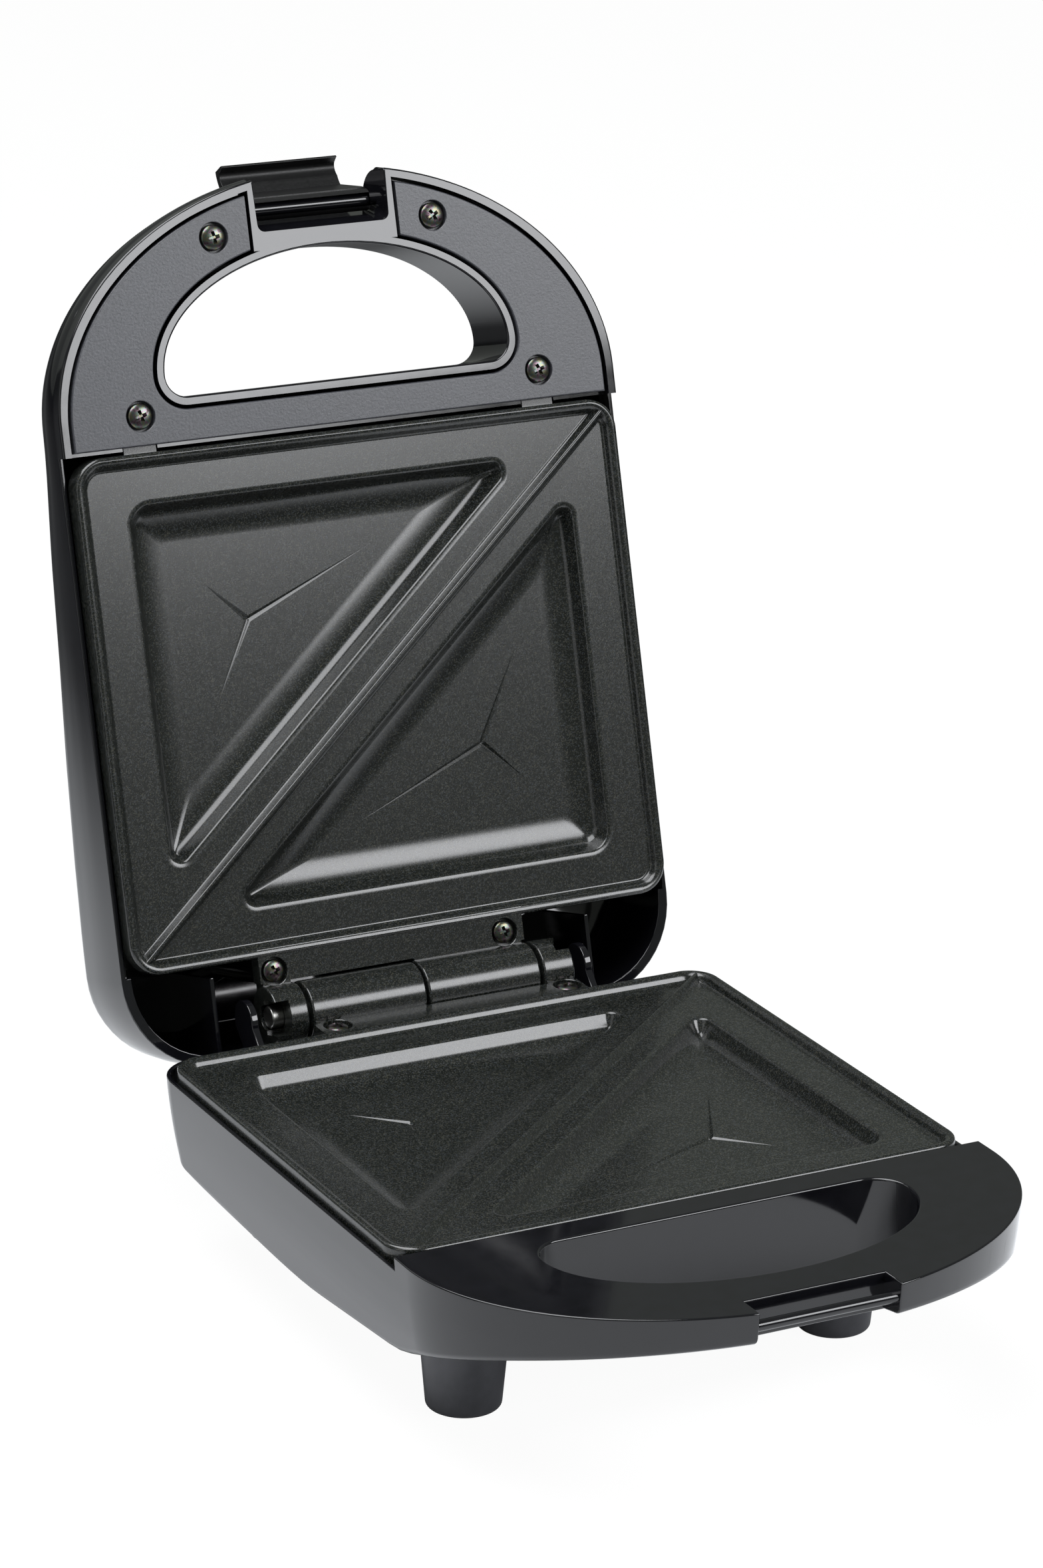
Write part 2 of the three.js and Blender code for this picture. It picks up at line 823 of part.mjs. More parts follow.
function plateCasting() {
  const { body, outline } = plateBlank();
  const otherCorners = halfTurned(pocketCorners);
  const bulges = [bulgeForm(pocketCorners), bulgeForm(otherCorners)];
  const pockets = [pocketForm(pocketCorners), pocketForm(otherCorners)];
  const centre = platePlace(starCentreShares);
  const tips = starTipShares.map(platePlace);
  const [otherCentre] = halfTurned([centre]);
  const otherTips = halfTurned(tips);
  const stars = [
    ...tips.map((tip) => starLeg(centre, tip)),
    ...otherTips.map((tip) => starLeg(otherCentre, tip)),
  ];
  const flangeTop = -flangeDrop;
  const flangeUnder = flangeTop - flangeThickness;
  const flanges = [
    block([-barrelOuter - seat, knuckleOuter], [-rimWidth, flangeStop], [flangeUnder, flangeTop]),
    block([-barrelOuter, -barrelInner], [0, hingeBack], [flangeUnder, flangeTop]),
    block([knuckleInner, knuckleOuter], [0, hingeBack], [flangeUnder, flangeTop]),
    axle(barrelRadius, [-barrelOuter, -barrelInner], hingeBack, 0, barrelSides),
    axle(barrelRadius, [knuckleInner, knuckleOuter], hingeBack, 0, barrelSides),
  ];
  const tabs = [-tabPlace, tabPlace].map((place) => block(
    [place - tabWidth / 2, place + tabWidth / 2],
    [-plateDepth - tabLength, -plateDepth + rimWidth],
    [-tabDrop - tabThickness, -tabDrop],
  ));
  const bores = [
    axle(pinRadius + seat, [-barrelOuter - overrun, -pinInner + seat], hingeBack, 0),
    axle(pinRadius + seat, [knuckleInner - skim, knuckleOuter + overrun], hingeBack, 0),
    block(
      [knuckleOuter - windowLength, knuckleOuter + overrun],
      [hingeBack - windowHalf, hingeBack + windowHalf],
      [0, barrelRadius + overrun],
    ),
  ];
  const headSeat = flangeTop - headHeight - driverGap / 2;
  const screwPlaces = [-flangeScrewNear, flangeScrewFar];
  const screwCuts = screwPlaces.flatMap((place) => [
    post(flangeHead + driverGap, place, flangeScrewBack, [headSeat, barrelRadius + overrun], barrelSides),
    post(screwShank + seat, place, flangeScrewBack, [flangeUnder - overrun, headSeat + seat]),
  ]);
  const solid = joined([body, diagonalRib(outline), ...bulges, ...flanges, ...tabs]);
  return { casting: cut(solid, [...pockets, ...stars, ...bores, ...screwCuts]), headSeat, screwPlaces };
}

const { casting, headSeat, screwPlaces } = plateCasting();

// The base shell
function mirroredPlaces(place) {
  return [-place, place];
}

const baseSolid = baseForm(0, 0, baseHandleRise);
const baseInside = baseForm(shellWall, shellWall, overrun);
const chamberFront = -baseHandleFront;
const handleInner = chamberFront - shellWall;
const farSide = shellHalf + overrun;
const farFront = handleEnd + overrun;
const deep = -ground - overrun;

function supportPosts(zRange) {
  return mirroredPlaces(postPlace).flatMap((x) => [
    post(postRadius, x, -postRearBack, zRange),
    post(postRadius, x, -postFrontBack, zRange),
  ]);
}

const footPlaces = [
  ['front_left_foot', -footPlace, -footFront],
  ['front_right_foot', footPlace, -footFront],
  ['rear_left_foot', -footRearPlace, -footRear],
  ['rear_right_foot', footRearPlace, -footRear],
];

// A lug beside each hinge knuckle keeps its pin from walking out
function hingeLug(side) {
  const profile = [];
  for (let step = 0; step <= 2 * arcSteps; step += 1) {
    const angle = -Math.PI / 4 + Math.PI * 1.25 * (step / (2 * arcSteps));
    profile.push(new THREE.Vector2(hingeBack + lugRadius * Math.cos(angle), lugRadius * Math.sin(angle)));
  }
  profile.push(new THREE.Vector2(baseRear - shellWall, -baseRimDrop - shellWall));
  profile.push(new THREE.Vector2(baseRear - shellWall, -2 * barrelRadius));
  const near = side * lugInner;
  const far = side * (lugInner + lugThickness);
  return sideProfile(profile, [Math.min(near, far), Math.max(near, far)]);
}

// A rib behind the base that the lid's back wall comes to rest on
function stopRib(place) {
  const top = (y) => {
    const cos = Math.cos(openAngle);
    const sin = Math.sin(openAngle);
    const wall = lidRear + lidBulge + seat - hingeBack;
    const rise = (y - hingeBack - wall * cos) / sin;
    return -wall * sin + rise * cos;
  };
  const root = baseRear - baseTaper;
  const profile = [
    new THREE.Vector2(root, -2 * barrelRadius - shellWall),
    new THREE.Vector2(stopReach, top(stopReach) - shellWall),
    new THREE.Vector2(stopReach, top(stopReach)),
    new THREE.Vector2(hingeBack + lidBulge, top(hingeBack + lidBulge)),
    new THREE.Vector2(root, -barrelRadius - shellWall),
  ];
  return sideProfile(profile, [place - stopThickness / 2, place + stopThickness / 2]);
}

function baseShell() {
  const nest = baseForm(rimWall, 0, overrun).intersect(
    block([-farSide, farSide], [chamberFront, overrun + baseRear], [-plateNest, 2 * overrun]),
  );
  const chamber = baseInside.intersect(
    block([-farSide, farSide], [chamberFront, overrun + baseRear], [deep, 2 * overrun]),
  );
  const rimCut = block([-farSide, farSide], [chamberFront, overrun + baseRear], [-baseRimDrop, 2 * overrun]);
  const flangeCut = block(
    [-knuckleOuter - seat, knuckleOuter + seat],
    [0, baseRear + overrun],
    [-flangeDrop - flangeThickness - seat, 2 * overrun],
  );
  const moon = moonOutline(moonHalf, moonReach, baseMoonBack, moonCorner);
  const moonWall = moonOutline(moonHalf + moonLip, moonReach + moonLip, baseMoonBack - moonLip, moonCorner + moonLip);
  const coreTop = baseHandleRise - shellWall;
  const coreFull = baseForm(shellWall, -2 * baseBelly, coreTop);
  const keep = [
    slab(moonWall, [deep - baseBelly, overrun]),
    block(
      [-baseNotchHalf - shellWall, baseNotchHalf + shellWall],
      [-farFront, -baseNotchFloor + shellWall],
      [deep - baseBelly, overrun],
    ),
    ...mirroredPlaces(tabPlace).map((place) => block(
      [place - lugThickness / 2, place + lugThickness / 2],
      [-farFront, handleInner],
      [deep - baseBelly, overrun],
    )),
  ];
  const core = cut(
    coreFull.intersect(block([-farSide, farSide], [-farFront, handleInner], [deep - baseBelly, coreTop])),
    keep,
  );
  const tabSlots = mirroredPlaces(tabPlace).map((place) => block(
    [place - tabWidth / 2 - seat, place + tabWidth / 2 + seat],
    [handleInner - overrun, chamberFront + skim],
    [-tabDrop - tabThickness - seat, -tabDrop + seat],
  ));
  const notch = block([-baseNotchHalf, baseNotchHalf], [-farFront, -baseNotchFloor], [deep, overrun]);
  let shell = cut(baseSolid, [nest, chamber, core, rimCut]);
  const postTop = -reflectorDrop - reflectorSheet - seat;
  const flangeBosses = screwPlaces.map((place) => post(
    screwShank + bossWall,
    place,
    flangeScrewBack,
    [-flangeDrop - flangeThickness - flangeScrewLength, -flangeDrop - flangeThickness - seat],
  ));
  const terminalPad = block(
    [-terminalHalf, terminalHalf],
    [-terminalBack - terminalDepth, -terminalBack],
    [-baseBelly, -terminalDrop - seat],
  );
  const fittings = [...supportPosts([-baseBelly, postTop]), ...flangeBosses, terminalPad];
  shell = shell.add(joined(fittings).intersect(baseForm(shellWall / 2, shellWall / 2, overrun)));
  shell = cut(shell, [slab(moon, [deep, overrun]), notch, flangeCut, ...tabSlots]);
  const outside = [
    axle(barRadius, [-baseNotchHalf - shellWall / 2, baseNotchHalf + shellWall / 2], -barBack, -barDrop),
    hingeLug(-1),
    hingeLug(1),
    stopRib(-stopPlace),
    stopRib(stopPlace),
  ];
  shell = joined([shell, ...outside]);
  const studHoles = footPlaces.map(([, x, y]) => post(footStud + seat, x, y, [deep, postTop - seat]));
  const screwHoles = screwPlaces.map((place) => post(
    screwShank + seat,
    place,
    flangeScrewBack,
    [-flangeScrewLength - headHeight - seat - flangeDrop, overrun],
  ));
  const postHoles = [[-postPlace, -postRearBack], [postPlace, -postFrontBack]].map(([x, y]) => post(
    screwShank + seat,
    x,
    y,
    [-reflectorDrop - smallScrewLength - seat, overrun],
  ));
  const glandHole = spigot(glandNeck + seat, [baseRear - baseTaper - overrun, baseRear + overrun], 0, -glandDrop);
  return cut(shell, [...studHoles, ...screwHoles, ...postHoles, glandHole]);
}

const glossBlack = materials.glossBlack;
addMesh(group, 'base_shell', baseShell(), glossBlack);

// Feet, pushed into the base's floor by their studs
const loweredBase = movedSolid(baseSolid, 0, 0, -seat);
for (const [name, x, y] of footPlaces) {
  const outer = turned([
    [0, -ground],
    [footBottom - footEdge, -ground],
    [footBottom - footEdge * roundShare, -ground + footEdge * roundShare],
    [footBottom, -ground + footEdge],
    [footTop, -footBlend],
    [0, -footBlend],
  ], barrelSides);
  const foot = movedSolid(outer, x, y, 0).subtract(loweredBase);
  const stud = post(footStud, x, y, [-bellyAt(y) - shellWall, -bellyAt(y) + footStudRise]);
  addMesh(group, name, foot.add(stud), materials.satinBlack);
}

// Plates and what holds them
addMesh(group, 'lower_plate', casting, materials.coating);
const flangeScrew = screw(flangeHead, flangeScrewLength);
const lowerScrewNames = ['lower_plate_screw_left', 'lower_plate_screw_right'];
lowerScrewNames.forEach((name, place) => {
  const body = movedSolid(flangeScrew, screwPlaces[place], flangeScrewBack, headSeat + seat);
  addMesh(group, name, body, materials.darkSteel);
});

// A pin is pressed in each end knuckle and runs in the long barrel of the other plate
addMesh(group, 'right_hinge_pin', axle(pinRadius, [pinInner, pinOuter], hingeBack, 0), materials.steel);

// Heating element: a sheathed rod round three sides of the plate's back
function elementBody() {
  const under = plateUnder - seat - elementRadius;
  const side = plateHalf - elementSide;
  const front = -plateDepth + elementSide;
  const path = new THREE.CurvePath();
  const corner = (x, y) => new THREE.Vector3(x, y, under);
  path.add(new THREE.LineCurve3(corner(-side, -elementEnd), corner(-side, front + elementBend)));
  path.add(new THREE.QuadraticBezierCurve3(
    corner(-side, front + elementBend),
    corner(-side, front),
    corner(-side + elementBend, front),
  ));
  path.add(new THREE.LineCurve3(corner(-side + elementBend, front), corner(side - elementBend, front)));
  path.add(new THREE.QuadraticBezierCurve3(
    corner(side - elementBend, front),
    corner(side, front),
    corner(side, front + elementBend),
  ));
  path.add(new THREE.LineCurve3(corner(side, front + elementBend), corner(side, -elementEnd)));
  const section = new THREE.Shape();
  section.absarc(0, 0, elementRadius, 0, 2 * Math.PI, false);
  const geometry = new THREE.ExtrudeGeometry(section, {
    steps: elementSteps,
    extrudePath: path,
    curveSegments: elementSides / 2,
    bevelEnabled: false,
  });
  const pins = mirroredPlaces(side).map((x) => spigot(
    elementPin,
    [-elementEnd - elementPinLength, -elementEnd + elementPinLength],
    x,
    under,
    pinSides,
  ));
  return joined([toSolid(geometry), ...pins]);
}

const element = elementBody();
addMesh(group, 'lower_heating_element', element, materials.steel);

// Reflector: a shallow sheet-steel tray between the element and the shell
function reflectorBody(withHole) {
  const half = plateHalf - reflectorSideMargin;
  const top = -reflectorDrop;
  const under = top - reflectorSheet;
  const tray = block([-half, half], [-plateDepth + reflectorFrontMargin, -reflectorMargin], [under - reflectorLip, top]);
  const hollow = block(
    [-half + reflectorSheet, half - reflectorSheet],
    [-plateDepth + reflectorFrontMargin + reflectorSheet, -reflectorMargin - reflectorSheet],
    [under - reflectorLip - overrun, under],
  );
  const holes = [[-postPlace, -postRearBack], [postPlace, -postFrontBack]].map(([x, y]) => post(
    screwShank + seat,
    x,
    y,
    [under - overrun, top + overrun],
  ));
  const eye = post(thermostatRadius + seat, plateCentre.x, plateCentre.y, [under - overrun, top + overrun], barrelSides);
  return cut(tray, withHole ? [hollow, ...holes, eye] : [hollow, ...holes]);
}

addMesh(group, 'lower_reflector', reflectorBody(true), materials.steel);
const smallScrew = screw(smallHead, smallScrewLength);
const reflectorScrewPlaces = [
  [-postPlace, -postRearBack],
  [postPlace, -postFrontBack],
];
const lowerReflectorScrewNames = ['lower_reflector_screw_rear', 'lower_reflector_screw_front'];
lowerReflectorScrewNames.forEach((name, place) => {
  const [x, y] = reflectorScrewPlaces[place];
  addMesh(group, name, movedSolid(smallScrew, x, y, -reflectorDrop + seat), materials.steel);
});

// Thermostat: a disc pressed on the plate's back by a strap that hooks under the reflector
const thermostatTop = bulgeUnder - seat;
const thermostatUnder = thermostatTop - thermostatHeight;
const thermostat = post(
  thermostatRadius - seat,
  plateCentre.x,
  plateCentre.y,
  [thermostatUnder, thermostatTop],
  barrelSides,
);
addMesh(group, 'thermostat', thermostat, materials.ceramic);
const strapTop = thermostatUnder - seat;
const strapUnder = strapTop - bracketSheet;
const reflectorUnder = -reflectorDrop - reflectorSheet;
const strap = joined([
  block(
    [-bracketSpan, bracketSpan],
    [plateCentre.y - bracketWidth / 2, plateCentre.y + bracketWidth / 2],
    [strapUnder, strapTop],
  ),
  ...mirroredPlaces(bracketSpan).map((place) => block(
    [place - bracketSheet, place + bracketSheet],
    [plateCentre.y - bracketWidth / 2, plateCentre.y + bracketWidth / 2],
    [strapUnder, reflectorUnder - seat],
  )),
]);
addMesh(group, 'thermostat_strap', strap, materials.steel);

// Terminal block on its pad, and the gland that the mains lead would enter by
const terminalBores = [-terminalPitch, 0, terminalPitch].map((place) => spigot(
  terminalBore,
  [-terminalBack - terminalDepth - overrun, -terminalBack + overrun],
  place,
  -terminalDrop + terminalHeight / 2,
  pinSides,
));
const terminal = cut(block(
  [-terminalHalf, terminalHalf],
  [-terminalBack - terminalDepth, -terminalBack],
  [-terminalDrop, -terminalDrop + terminalHeight],
), terminalBores);
addMesh(group, 'terminal_block', terminal, materials.ceramic);

const wallOuter = baseRear - taperAt(glandDrop);
const wallInner = wallOuter - shellWall;
const glandBody = joined([
  spigot(glandFlange, [wallInner + seat, baseRear + glandProud], 0, -glandDrop, barrelSides)
    .subtract(movedSolid(baseSolid, 0, seat, 0)),
  spigot(glandNeck, [wallInner - glandInside, baseRear + glandProud], 0, -glandDrop, barrelSides),
]);
const glandHoleBody = spigot(glandBore, [wallInner - glandInside - overrun, baseRear + overrun], 0, -glandDrop);
addMesh(group, 'cord_gland', glandBody.subtract(glandHoleBody), materials.satinBlack);
const nutBack = wallInner - taperAt(glandDrop + glandNutRadius) + taperAt(glandDrop) - seat;
const glandNut = spigot(glandNutRadius, [nutBack - glandNutThickness, nutBack], 0, -glandDrop, 6)
  .subtract(spigot(glandNeck + seat, [nutBack - glandNutThickness - overrun, nutBack + overrun], 0, -glandDrop));
addMesh(group, 'cord_gland_nut', glandNut, materials.satinBlack);

// The lid turns on the hinge axis, with everything drawn shut
const lid = new THREE.Group();
lid.position.set(0, hingeBack, 0);
lid.rotation.x = -openAngle;
group.add(lid);
const lidParts = new THREE.Group();
lidParts.position.set(0, -hingeBack, 0);
lid.add(lidParts);

const lidSolid = lidForm(0, lidHandleRise, 0);
const lidChamberFront = -lidHandleFront;
const lidHandleInner = lidChamberFront - shellWall;
const high = lidHeight + lidCrown + overrun;
const coverSeat = lidHandleRise + coverThickness + seat;
const coverScrewPlaces = [
  ['cover_screw_front_left', -coverScrewFrontPlace, -coverScrewFrontBack],
  ['cover_screw_front_right', coverScrewFrontPlace, -coverScrewFrontBack],
  ['cover_screw_rear_left', -coverScrewRearPlace, -coverScrewRearBack],
  ['cover_screw_rear_right', coverScrewRearPlace, -coverScrewRearBack],
];
const upperScrewPlaces = screwPlaces.map((place) => -place);

function coverOutline(shrink) {
  const points = [];
  const half = coverHalf - shrink;
  const reach = coverReach - shrink;
  for (let step = 0; step <= 2 * moonSteps; step += 1) {
    const angle = Math.PI + Math.PI * (step / (2 * moonSteps));
    points.push(new THREE.Vector2(half * Math.cos(angle), -coverStart + reach * Math.sin(angle)));
  }
  return points;
}

function lidShell() {
  const inside = lidForm(shellWall, -overrun, shellWall);
  const chamber = inside.intersect(
    block([-farSide, farSide], [lidChamberFront, lidRear + overrun], [-2 * overrun, high]),
  );
  const nest = lidForm(rimWall, -overrun, 0).intersect(
    block([-farSide, farSide], [lidChamberFront, 0], [-2 * overrun, plateNest]),
  );
  const rimCut = block([-farSide, farSide], [lidChamberFront, lidRear + overrun], [-overrun, lidRimRise]);
  const moon = moonOutline(moonHalf, moonReach, lidMoonBack, moonCorner);
  const moonWall = moonOutline(moonHalf + moonLip, moonReach + moonLip, lidMoonBack - moonLip, moonCorner + moonLip);
  const moonPillar = slab(moonWall, [-overrun, high + overrun]);
  const notchPillar = block([-lidNotchEnd, lidNotchEnd], [-farFront, -moonStart - moonReach], [-overrun, high + overrun]);
  const bosses = coverScrewPlaces.map(([, x, y]) => post(
    screwShank + bossWall,
    x,
    y,
    [coverSeat, high + overrun],
  ));
  const hollow = cut(
    inside.intersect(block([-farSide, farSide], [-farFront, lidHandleInner], [-2 * overrun, high])),
    [moonPillar, notchPillar, ...bosses],
  );
  const coverRecess = cut(
    joined([
      slab(coverOutline(0), [-overrun, coverSeat]),
      block([-coverHalf, coverHalf], [-coverStart, lidChamberFront + skim], [-overrun, coverSeat]),
    ]),
    [moonPillar, notchPillar],
  );
  let shell = cut(lidSolid, [chamber, nest, hollow, rimCut, coverRecess]);
  const postLow = reflectorDrop + reflectorSheet + seat;
  const flangeBosses = upperScrewPlaces.map((place) => post(
    screwShank + bossWall,
    place,
    flangeScrewBack,
    [flangeDrop + flangeThickness + seat, high],
  ));
  const innerRibs = mirroredPlaces(innerRibPlace).map((place) => block(
    [place - innerRibThickness / 2, place + innerRibThickness / 2],
    [innerRibFront, lidRear],
    [lidRimRise + seat, high],
  ));
  const fittings = [...supportPosts([postLow, high]), ...flangeBosses, ...innerRibs];
  shell = shell.add(joined(fittings).intersect(lidForm(shellWall / 2, 0, shellWall / 2)));
  const tabSlots = mirroredPlaces(tabPlace).map((place) => block(
    [place - tabWidth / 2 - seat, place + tabWidth / 2 + seat],
    [lidHandleInner - skim, lidChamberFront + skim],
    [coverSeat - seat, tabDrop + tabThickness + seat],
  ));
  const notch = block([-lidNotchHalf, lidNotchHalf], [-farFront, -lidNotchFloor], [-overrun, high]);
  shell = cut(shell, [slab(moon, [-overrun, high + overrun]), notch, ...tabSlots]);
  const rodEnd = (lidNotchHalf + lidNotchEnd) / 2;
  shell = shell.add(axle(latchRodRadius, [-rodEnd, rodEnd], -latchRodBack, latchRodRise));
  const coverHoles = coverScrewPlaces.map(([, x, y]) => post(
    screwShank + seat,
    x,
    y,
    [-overrun, lidHandleRise + coverScrewLength + seat],
  ));
  const flangeHoles = upperScrewPlaces.map((place) => post(
    screwShank + seat,
    place,
    flangeScrewBack,
    [-overrun, flangeDrop + flangeScrewLength + headHeight + seat],
  ));
  const postHoles = reflectorScrewPlaces.map(([x, y]) => post(
    screwShank + seat,
    -x,
    y,
    [-overrun, reflectorDrop + smallScrewLength + seat],
  ));
  const lensHoles = mirroredPlaces(lampPlace).map((x) => post(
    lensRadius + seat,
    x,
    -lampBack,
    [lidHeight - 2 * lensDepth, high],
    barrelSides,
  ));
  return cut(shell, [...coverHoles, ...flangeHoles, ...postHoles, ...lensHoles]);
}

addMesh(lidParts, 'lid_shell', lidShell(), glossBlack);

// The matte cover screwed over the hollow of the lid's handle
function coverBody() {
  const outer = slab(coverOutline(coverGap), [lidHandleRise, lidHandleRise + coverThickness]);
  const shoulder = block(
    [-coverHalf + coverGap, coverHalf - coverGap],
    [-coverStart, -coverBack],
    [lidHandleRise, lidHandleRise + coverThickness],
  );
  const around = moonLip + coverGap;
  const moon = moonOutline(moonHalf + around, moonReach + around, lidMoonBack - around, moonCorner + around);
  const notch = block(
    [-lidNotchEnd - coverGap, lidNotchEnd + coverGap],
    [-farFront, -moonStart - moonReach],
    [-overrun, coverSeat + overrun],
  );
  const sinks = coverScrewPlaces.flatMap(([, x, y]) => [
    post(coverHead + driverGap, x, y, [-overrun, lidHandleRise + headHeight], barrelSides),
    post(screwShank + seat, x, y, [-overrun, coverSeat + overrun]),
  ]);
  return cut(joined([outer, shoulder]), [slab(moon, [-overrun, coverSeat + overrun]), notch, ...sinks]);
}

addMesh(lidParts, 'lid_handle_cover', coverBody(), materials.matteGrey);
const coverScrew = turnedOver(screw(coverHead, coverScrewLength - headHeight));
for (const [name, x, y] of coverScrewPlaces) {
  addMesh(lidParts, name, movedSolid(coverScrew, x, y, lidHandleRise + headHeight - seat), materials.darkSteel);
}

addMesh(lidParts, 'upper_plate', turnedOver(casting), materials.coating);
const upperScrewNames = ['upper_plate_screw_right', 'upper_plate_screw_left'];
upperScrewNames.forEach((name, place) => {
  const body = movedSolid(turnedOver(flangeScrew), upperScrewPlaces[place], flangeScrewBack, -headSeat - seat);
  addMesh(lidParts, name, body, materials.darkSteel);
});
addMesh(lidParts, 'left_hinge_pin', axle(pinRadius, [-pinOuter, -pinInner], hingeBack, 0), materials.steel);
addMesh(lidParts, 'upper_heating_element', turnedOver(element), materials.steel);
addMesh(lidParts, 'upper_reflector', turnedOver(reflectorBody(false)), materials.steel);
const upperReflectorScrewNames = ['upper_reflector_screw_rear', 'upper_reflector_screw_front'];
upperReflectorScrewNames.forEach((name, place) => {
  const [x, y] = reflectorScrewPlaces[place];
  const body = movedSolid(turnedOver(smallScrew), -x, y, reflectorDrop - seat);
  addMesh(lidParts, name, body, materials.steel);
});

// Thermal fuse clipped on the back of the upper reflector
const fuseLow = reflectorDrop + reflectorSheet + seat;
const fuseAxis = fuseLow + fuseRadius;
const fuse = axle(fuseRadius, [-fuseHalf, fuseHalf], -fuseBack, fuseAxis);
addMesh(lidParts, 'thermal_fuse', fuse, materials.ceramic);
const clipInner = fuseRadius + seat;
const clipOuter = clipInner + clipSheet;
const clip = cut(
  joined([
    axle(clipOuter, [-clipHalf, clipHalf], -fuseBack, fuseAxis, barrelSides),
    block([-clipHalf, clipHalf], [-fuseBack - clipOuter, -fuseBack + clipOuter], [fuseLow, fuseAxis]),
    block(
      [-clipHalf, clipHalf],
      [-fuseBack - clipOuter - clipFoot, -fuseBack + clipOuter + clipFoot],
      [fuseLow, fuseLow + clipSheet],
    ),
  ]),
  [
    axle(clipInner, [-clipHalf - overrun, clipHalf + overrun], -fuseBack, fuseAxis),
    block(
      [-clipHalf - overrun, clipHalf + overrun],
      [-fuseBack - clipInner, -fuseBack + clipInner],
      [fuseLow - overrun, fuseAxis],
    ),
    block([-farSide, farSide], [-farFront, lidRear], [-overrun, fuseLow]),
  ],
);
addMesh(lidParts, 'fuse_clip', clip, materials.steel);

// Indicator lamps: a coloured lens pushed through the lid, with a neon lamp up inside it
const lampNames = [
  ['power_lamp', -lampPlace, materials.redLens],
  ['ready_lamp', lampPlace, materials.greenLens],
];
const lensTop = crownAt(-lampBack) + lidCrown + lensProud;
const lensFlangeTop = crownAt(-lampBack) - shellWall - seat;
for (const [name, x, lensMaterial] of lampNames) {
  const lens = cut(
    joined([
      post(lensRadius, x, -lampBack, [lensTop - lensDepth, lensTop], barrelSides),
      post(lensFlange, x, -lampBack, [lensFlangeTop - lensFlangeHeight, lensFlangeTop], barrelSides),
    ]),
    [post(lensRadius - lensWall, x, -lampBack, [-overrun, lensTop - lensWall], barrelSides)],
  );
  addMesh(lidParts, `${name}_lens`, lens, lensMaterial);
  const lampTop = lensTop - lensWall - seat;
  const lamp = post(lampRadius, x, -lampBack, [lampTop - lampLength, lampTop]);
  addMesh(lidParts, name, lamp, materials.lampGlass);
}

// The latch: a moulded hook as wide as the notch, clipped round the rod in the lid's handle
function latchBody() {
  const wallBack = -latchWallBack;
  const wallFront = wallBack - latchWall;
  const hookInner = latchRise + latchLip;
  const outline = new THREE.Shape();
  outline.moveTo(wallBack, latchWall);
  outline.lineTo(wallBack, latchRise - latchLip);
  outline.quadraticCurveTo(wallBack, latchHookRise, -latchHookBack + latchMouth, latchHookRise);
  outline.quadraticCurveTo(-latchHookBack, latchHookRise, -latchHookBack, latchRise);
  outline.lineTo(-latchHookBack + latchLip, latchRise);
  outline.lineTo(-latchHookBack + latchLip, hookInner);
  outline.quadraticCurveTo(wallFront, hookInner + latchLip / 2, wallFront, latchRise - latchLip);
  outline.lineTo(wallFront, latchWall);
  const points = outline.getPoints(arcSteps);
  const hook = sideProfile(points, [-latchHalf, latchHalf]);
  const neck = block(
    [-latchHalf, latchHalf],
    [wallFront + latchWall / 2, -latchRodRadius],
    [latchWall, latchWall + latchMouth],
  );
  const ring = axle(latchRing, [-latchHalf, latchHalf], 0, 0, barrelSides);
  const bore = axle(latchRodRadius + seat, [-latchHalf - overrun, latchHalf + overrun], 0, 0);
  const slot = block(
    [-latchHalf - overrun, latchHalf + overrun],
    [latchRodRadius / 2, latchRing + overrun],
    [-latchRodRadius, latchRodRadius],
  );
  return cut(joined([hook, neck, ring]), [bore, slot]);
}

const latchPivot = new THREE.Group();
latchPivot.position.set(0, -latchRodBack, latchRodRise);
lidParts.add(latchPivot);
addMesh(latchPivot, 'latch', latchBody(), materials.satinBlack);

// The origin is the middle of the box that holds everything, on the ground
group.updateMatrixWorld(true);
const bounds = new THREE.Box3().setFromObject(group, true);
const middle = bounds.getCenter(new THREE.Vector3());
group.position.set(-middle.x, -middle.y, -bounds.min.z);

export default group;
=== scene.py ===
import json
import math

import bmesh
import bpy
from mathutils import Matrix, Vector


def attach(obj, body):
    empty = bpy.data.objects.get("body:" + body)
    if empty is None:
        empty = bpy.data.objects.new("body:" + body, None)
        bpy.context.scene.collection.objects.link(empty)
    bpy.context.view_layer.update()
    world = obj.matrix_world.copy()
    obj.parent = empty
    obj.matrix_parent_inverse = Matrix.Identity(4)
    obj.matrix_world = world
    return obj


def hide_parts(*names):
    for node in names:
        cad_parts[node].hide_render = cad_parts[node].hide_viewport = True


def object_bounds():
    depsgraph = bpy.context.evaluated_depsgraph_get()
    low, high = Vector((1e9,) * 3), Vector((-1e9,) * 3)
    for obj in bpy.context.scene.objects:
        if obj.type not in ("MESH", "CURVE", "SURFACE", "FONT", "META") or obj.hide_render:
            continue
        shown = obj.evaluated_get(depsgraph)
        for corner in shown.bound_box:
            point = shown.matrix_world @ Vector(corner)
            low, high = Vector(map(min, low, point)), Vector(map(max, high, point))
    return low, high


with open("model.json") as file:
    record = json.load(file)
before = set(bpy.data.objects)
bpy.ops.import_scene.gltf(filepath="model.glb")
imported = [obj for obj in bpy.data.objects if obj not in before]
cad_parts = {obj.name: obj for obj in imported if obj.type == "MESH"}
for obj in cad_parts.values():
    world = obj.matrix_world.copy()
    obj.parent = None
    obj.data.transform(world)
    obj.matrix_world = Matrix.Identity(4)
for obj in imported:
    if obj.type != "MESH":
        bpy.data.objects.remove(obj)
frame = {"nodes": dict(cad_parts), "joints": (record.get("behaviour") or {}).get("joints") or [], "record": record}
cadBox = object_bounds()

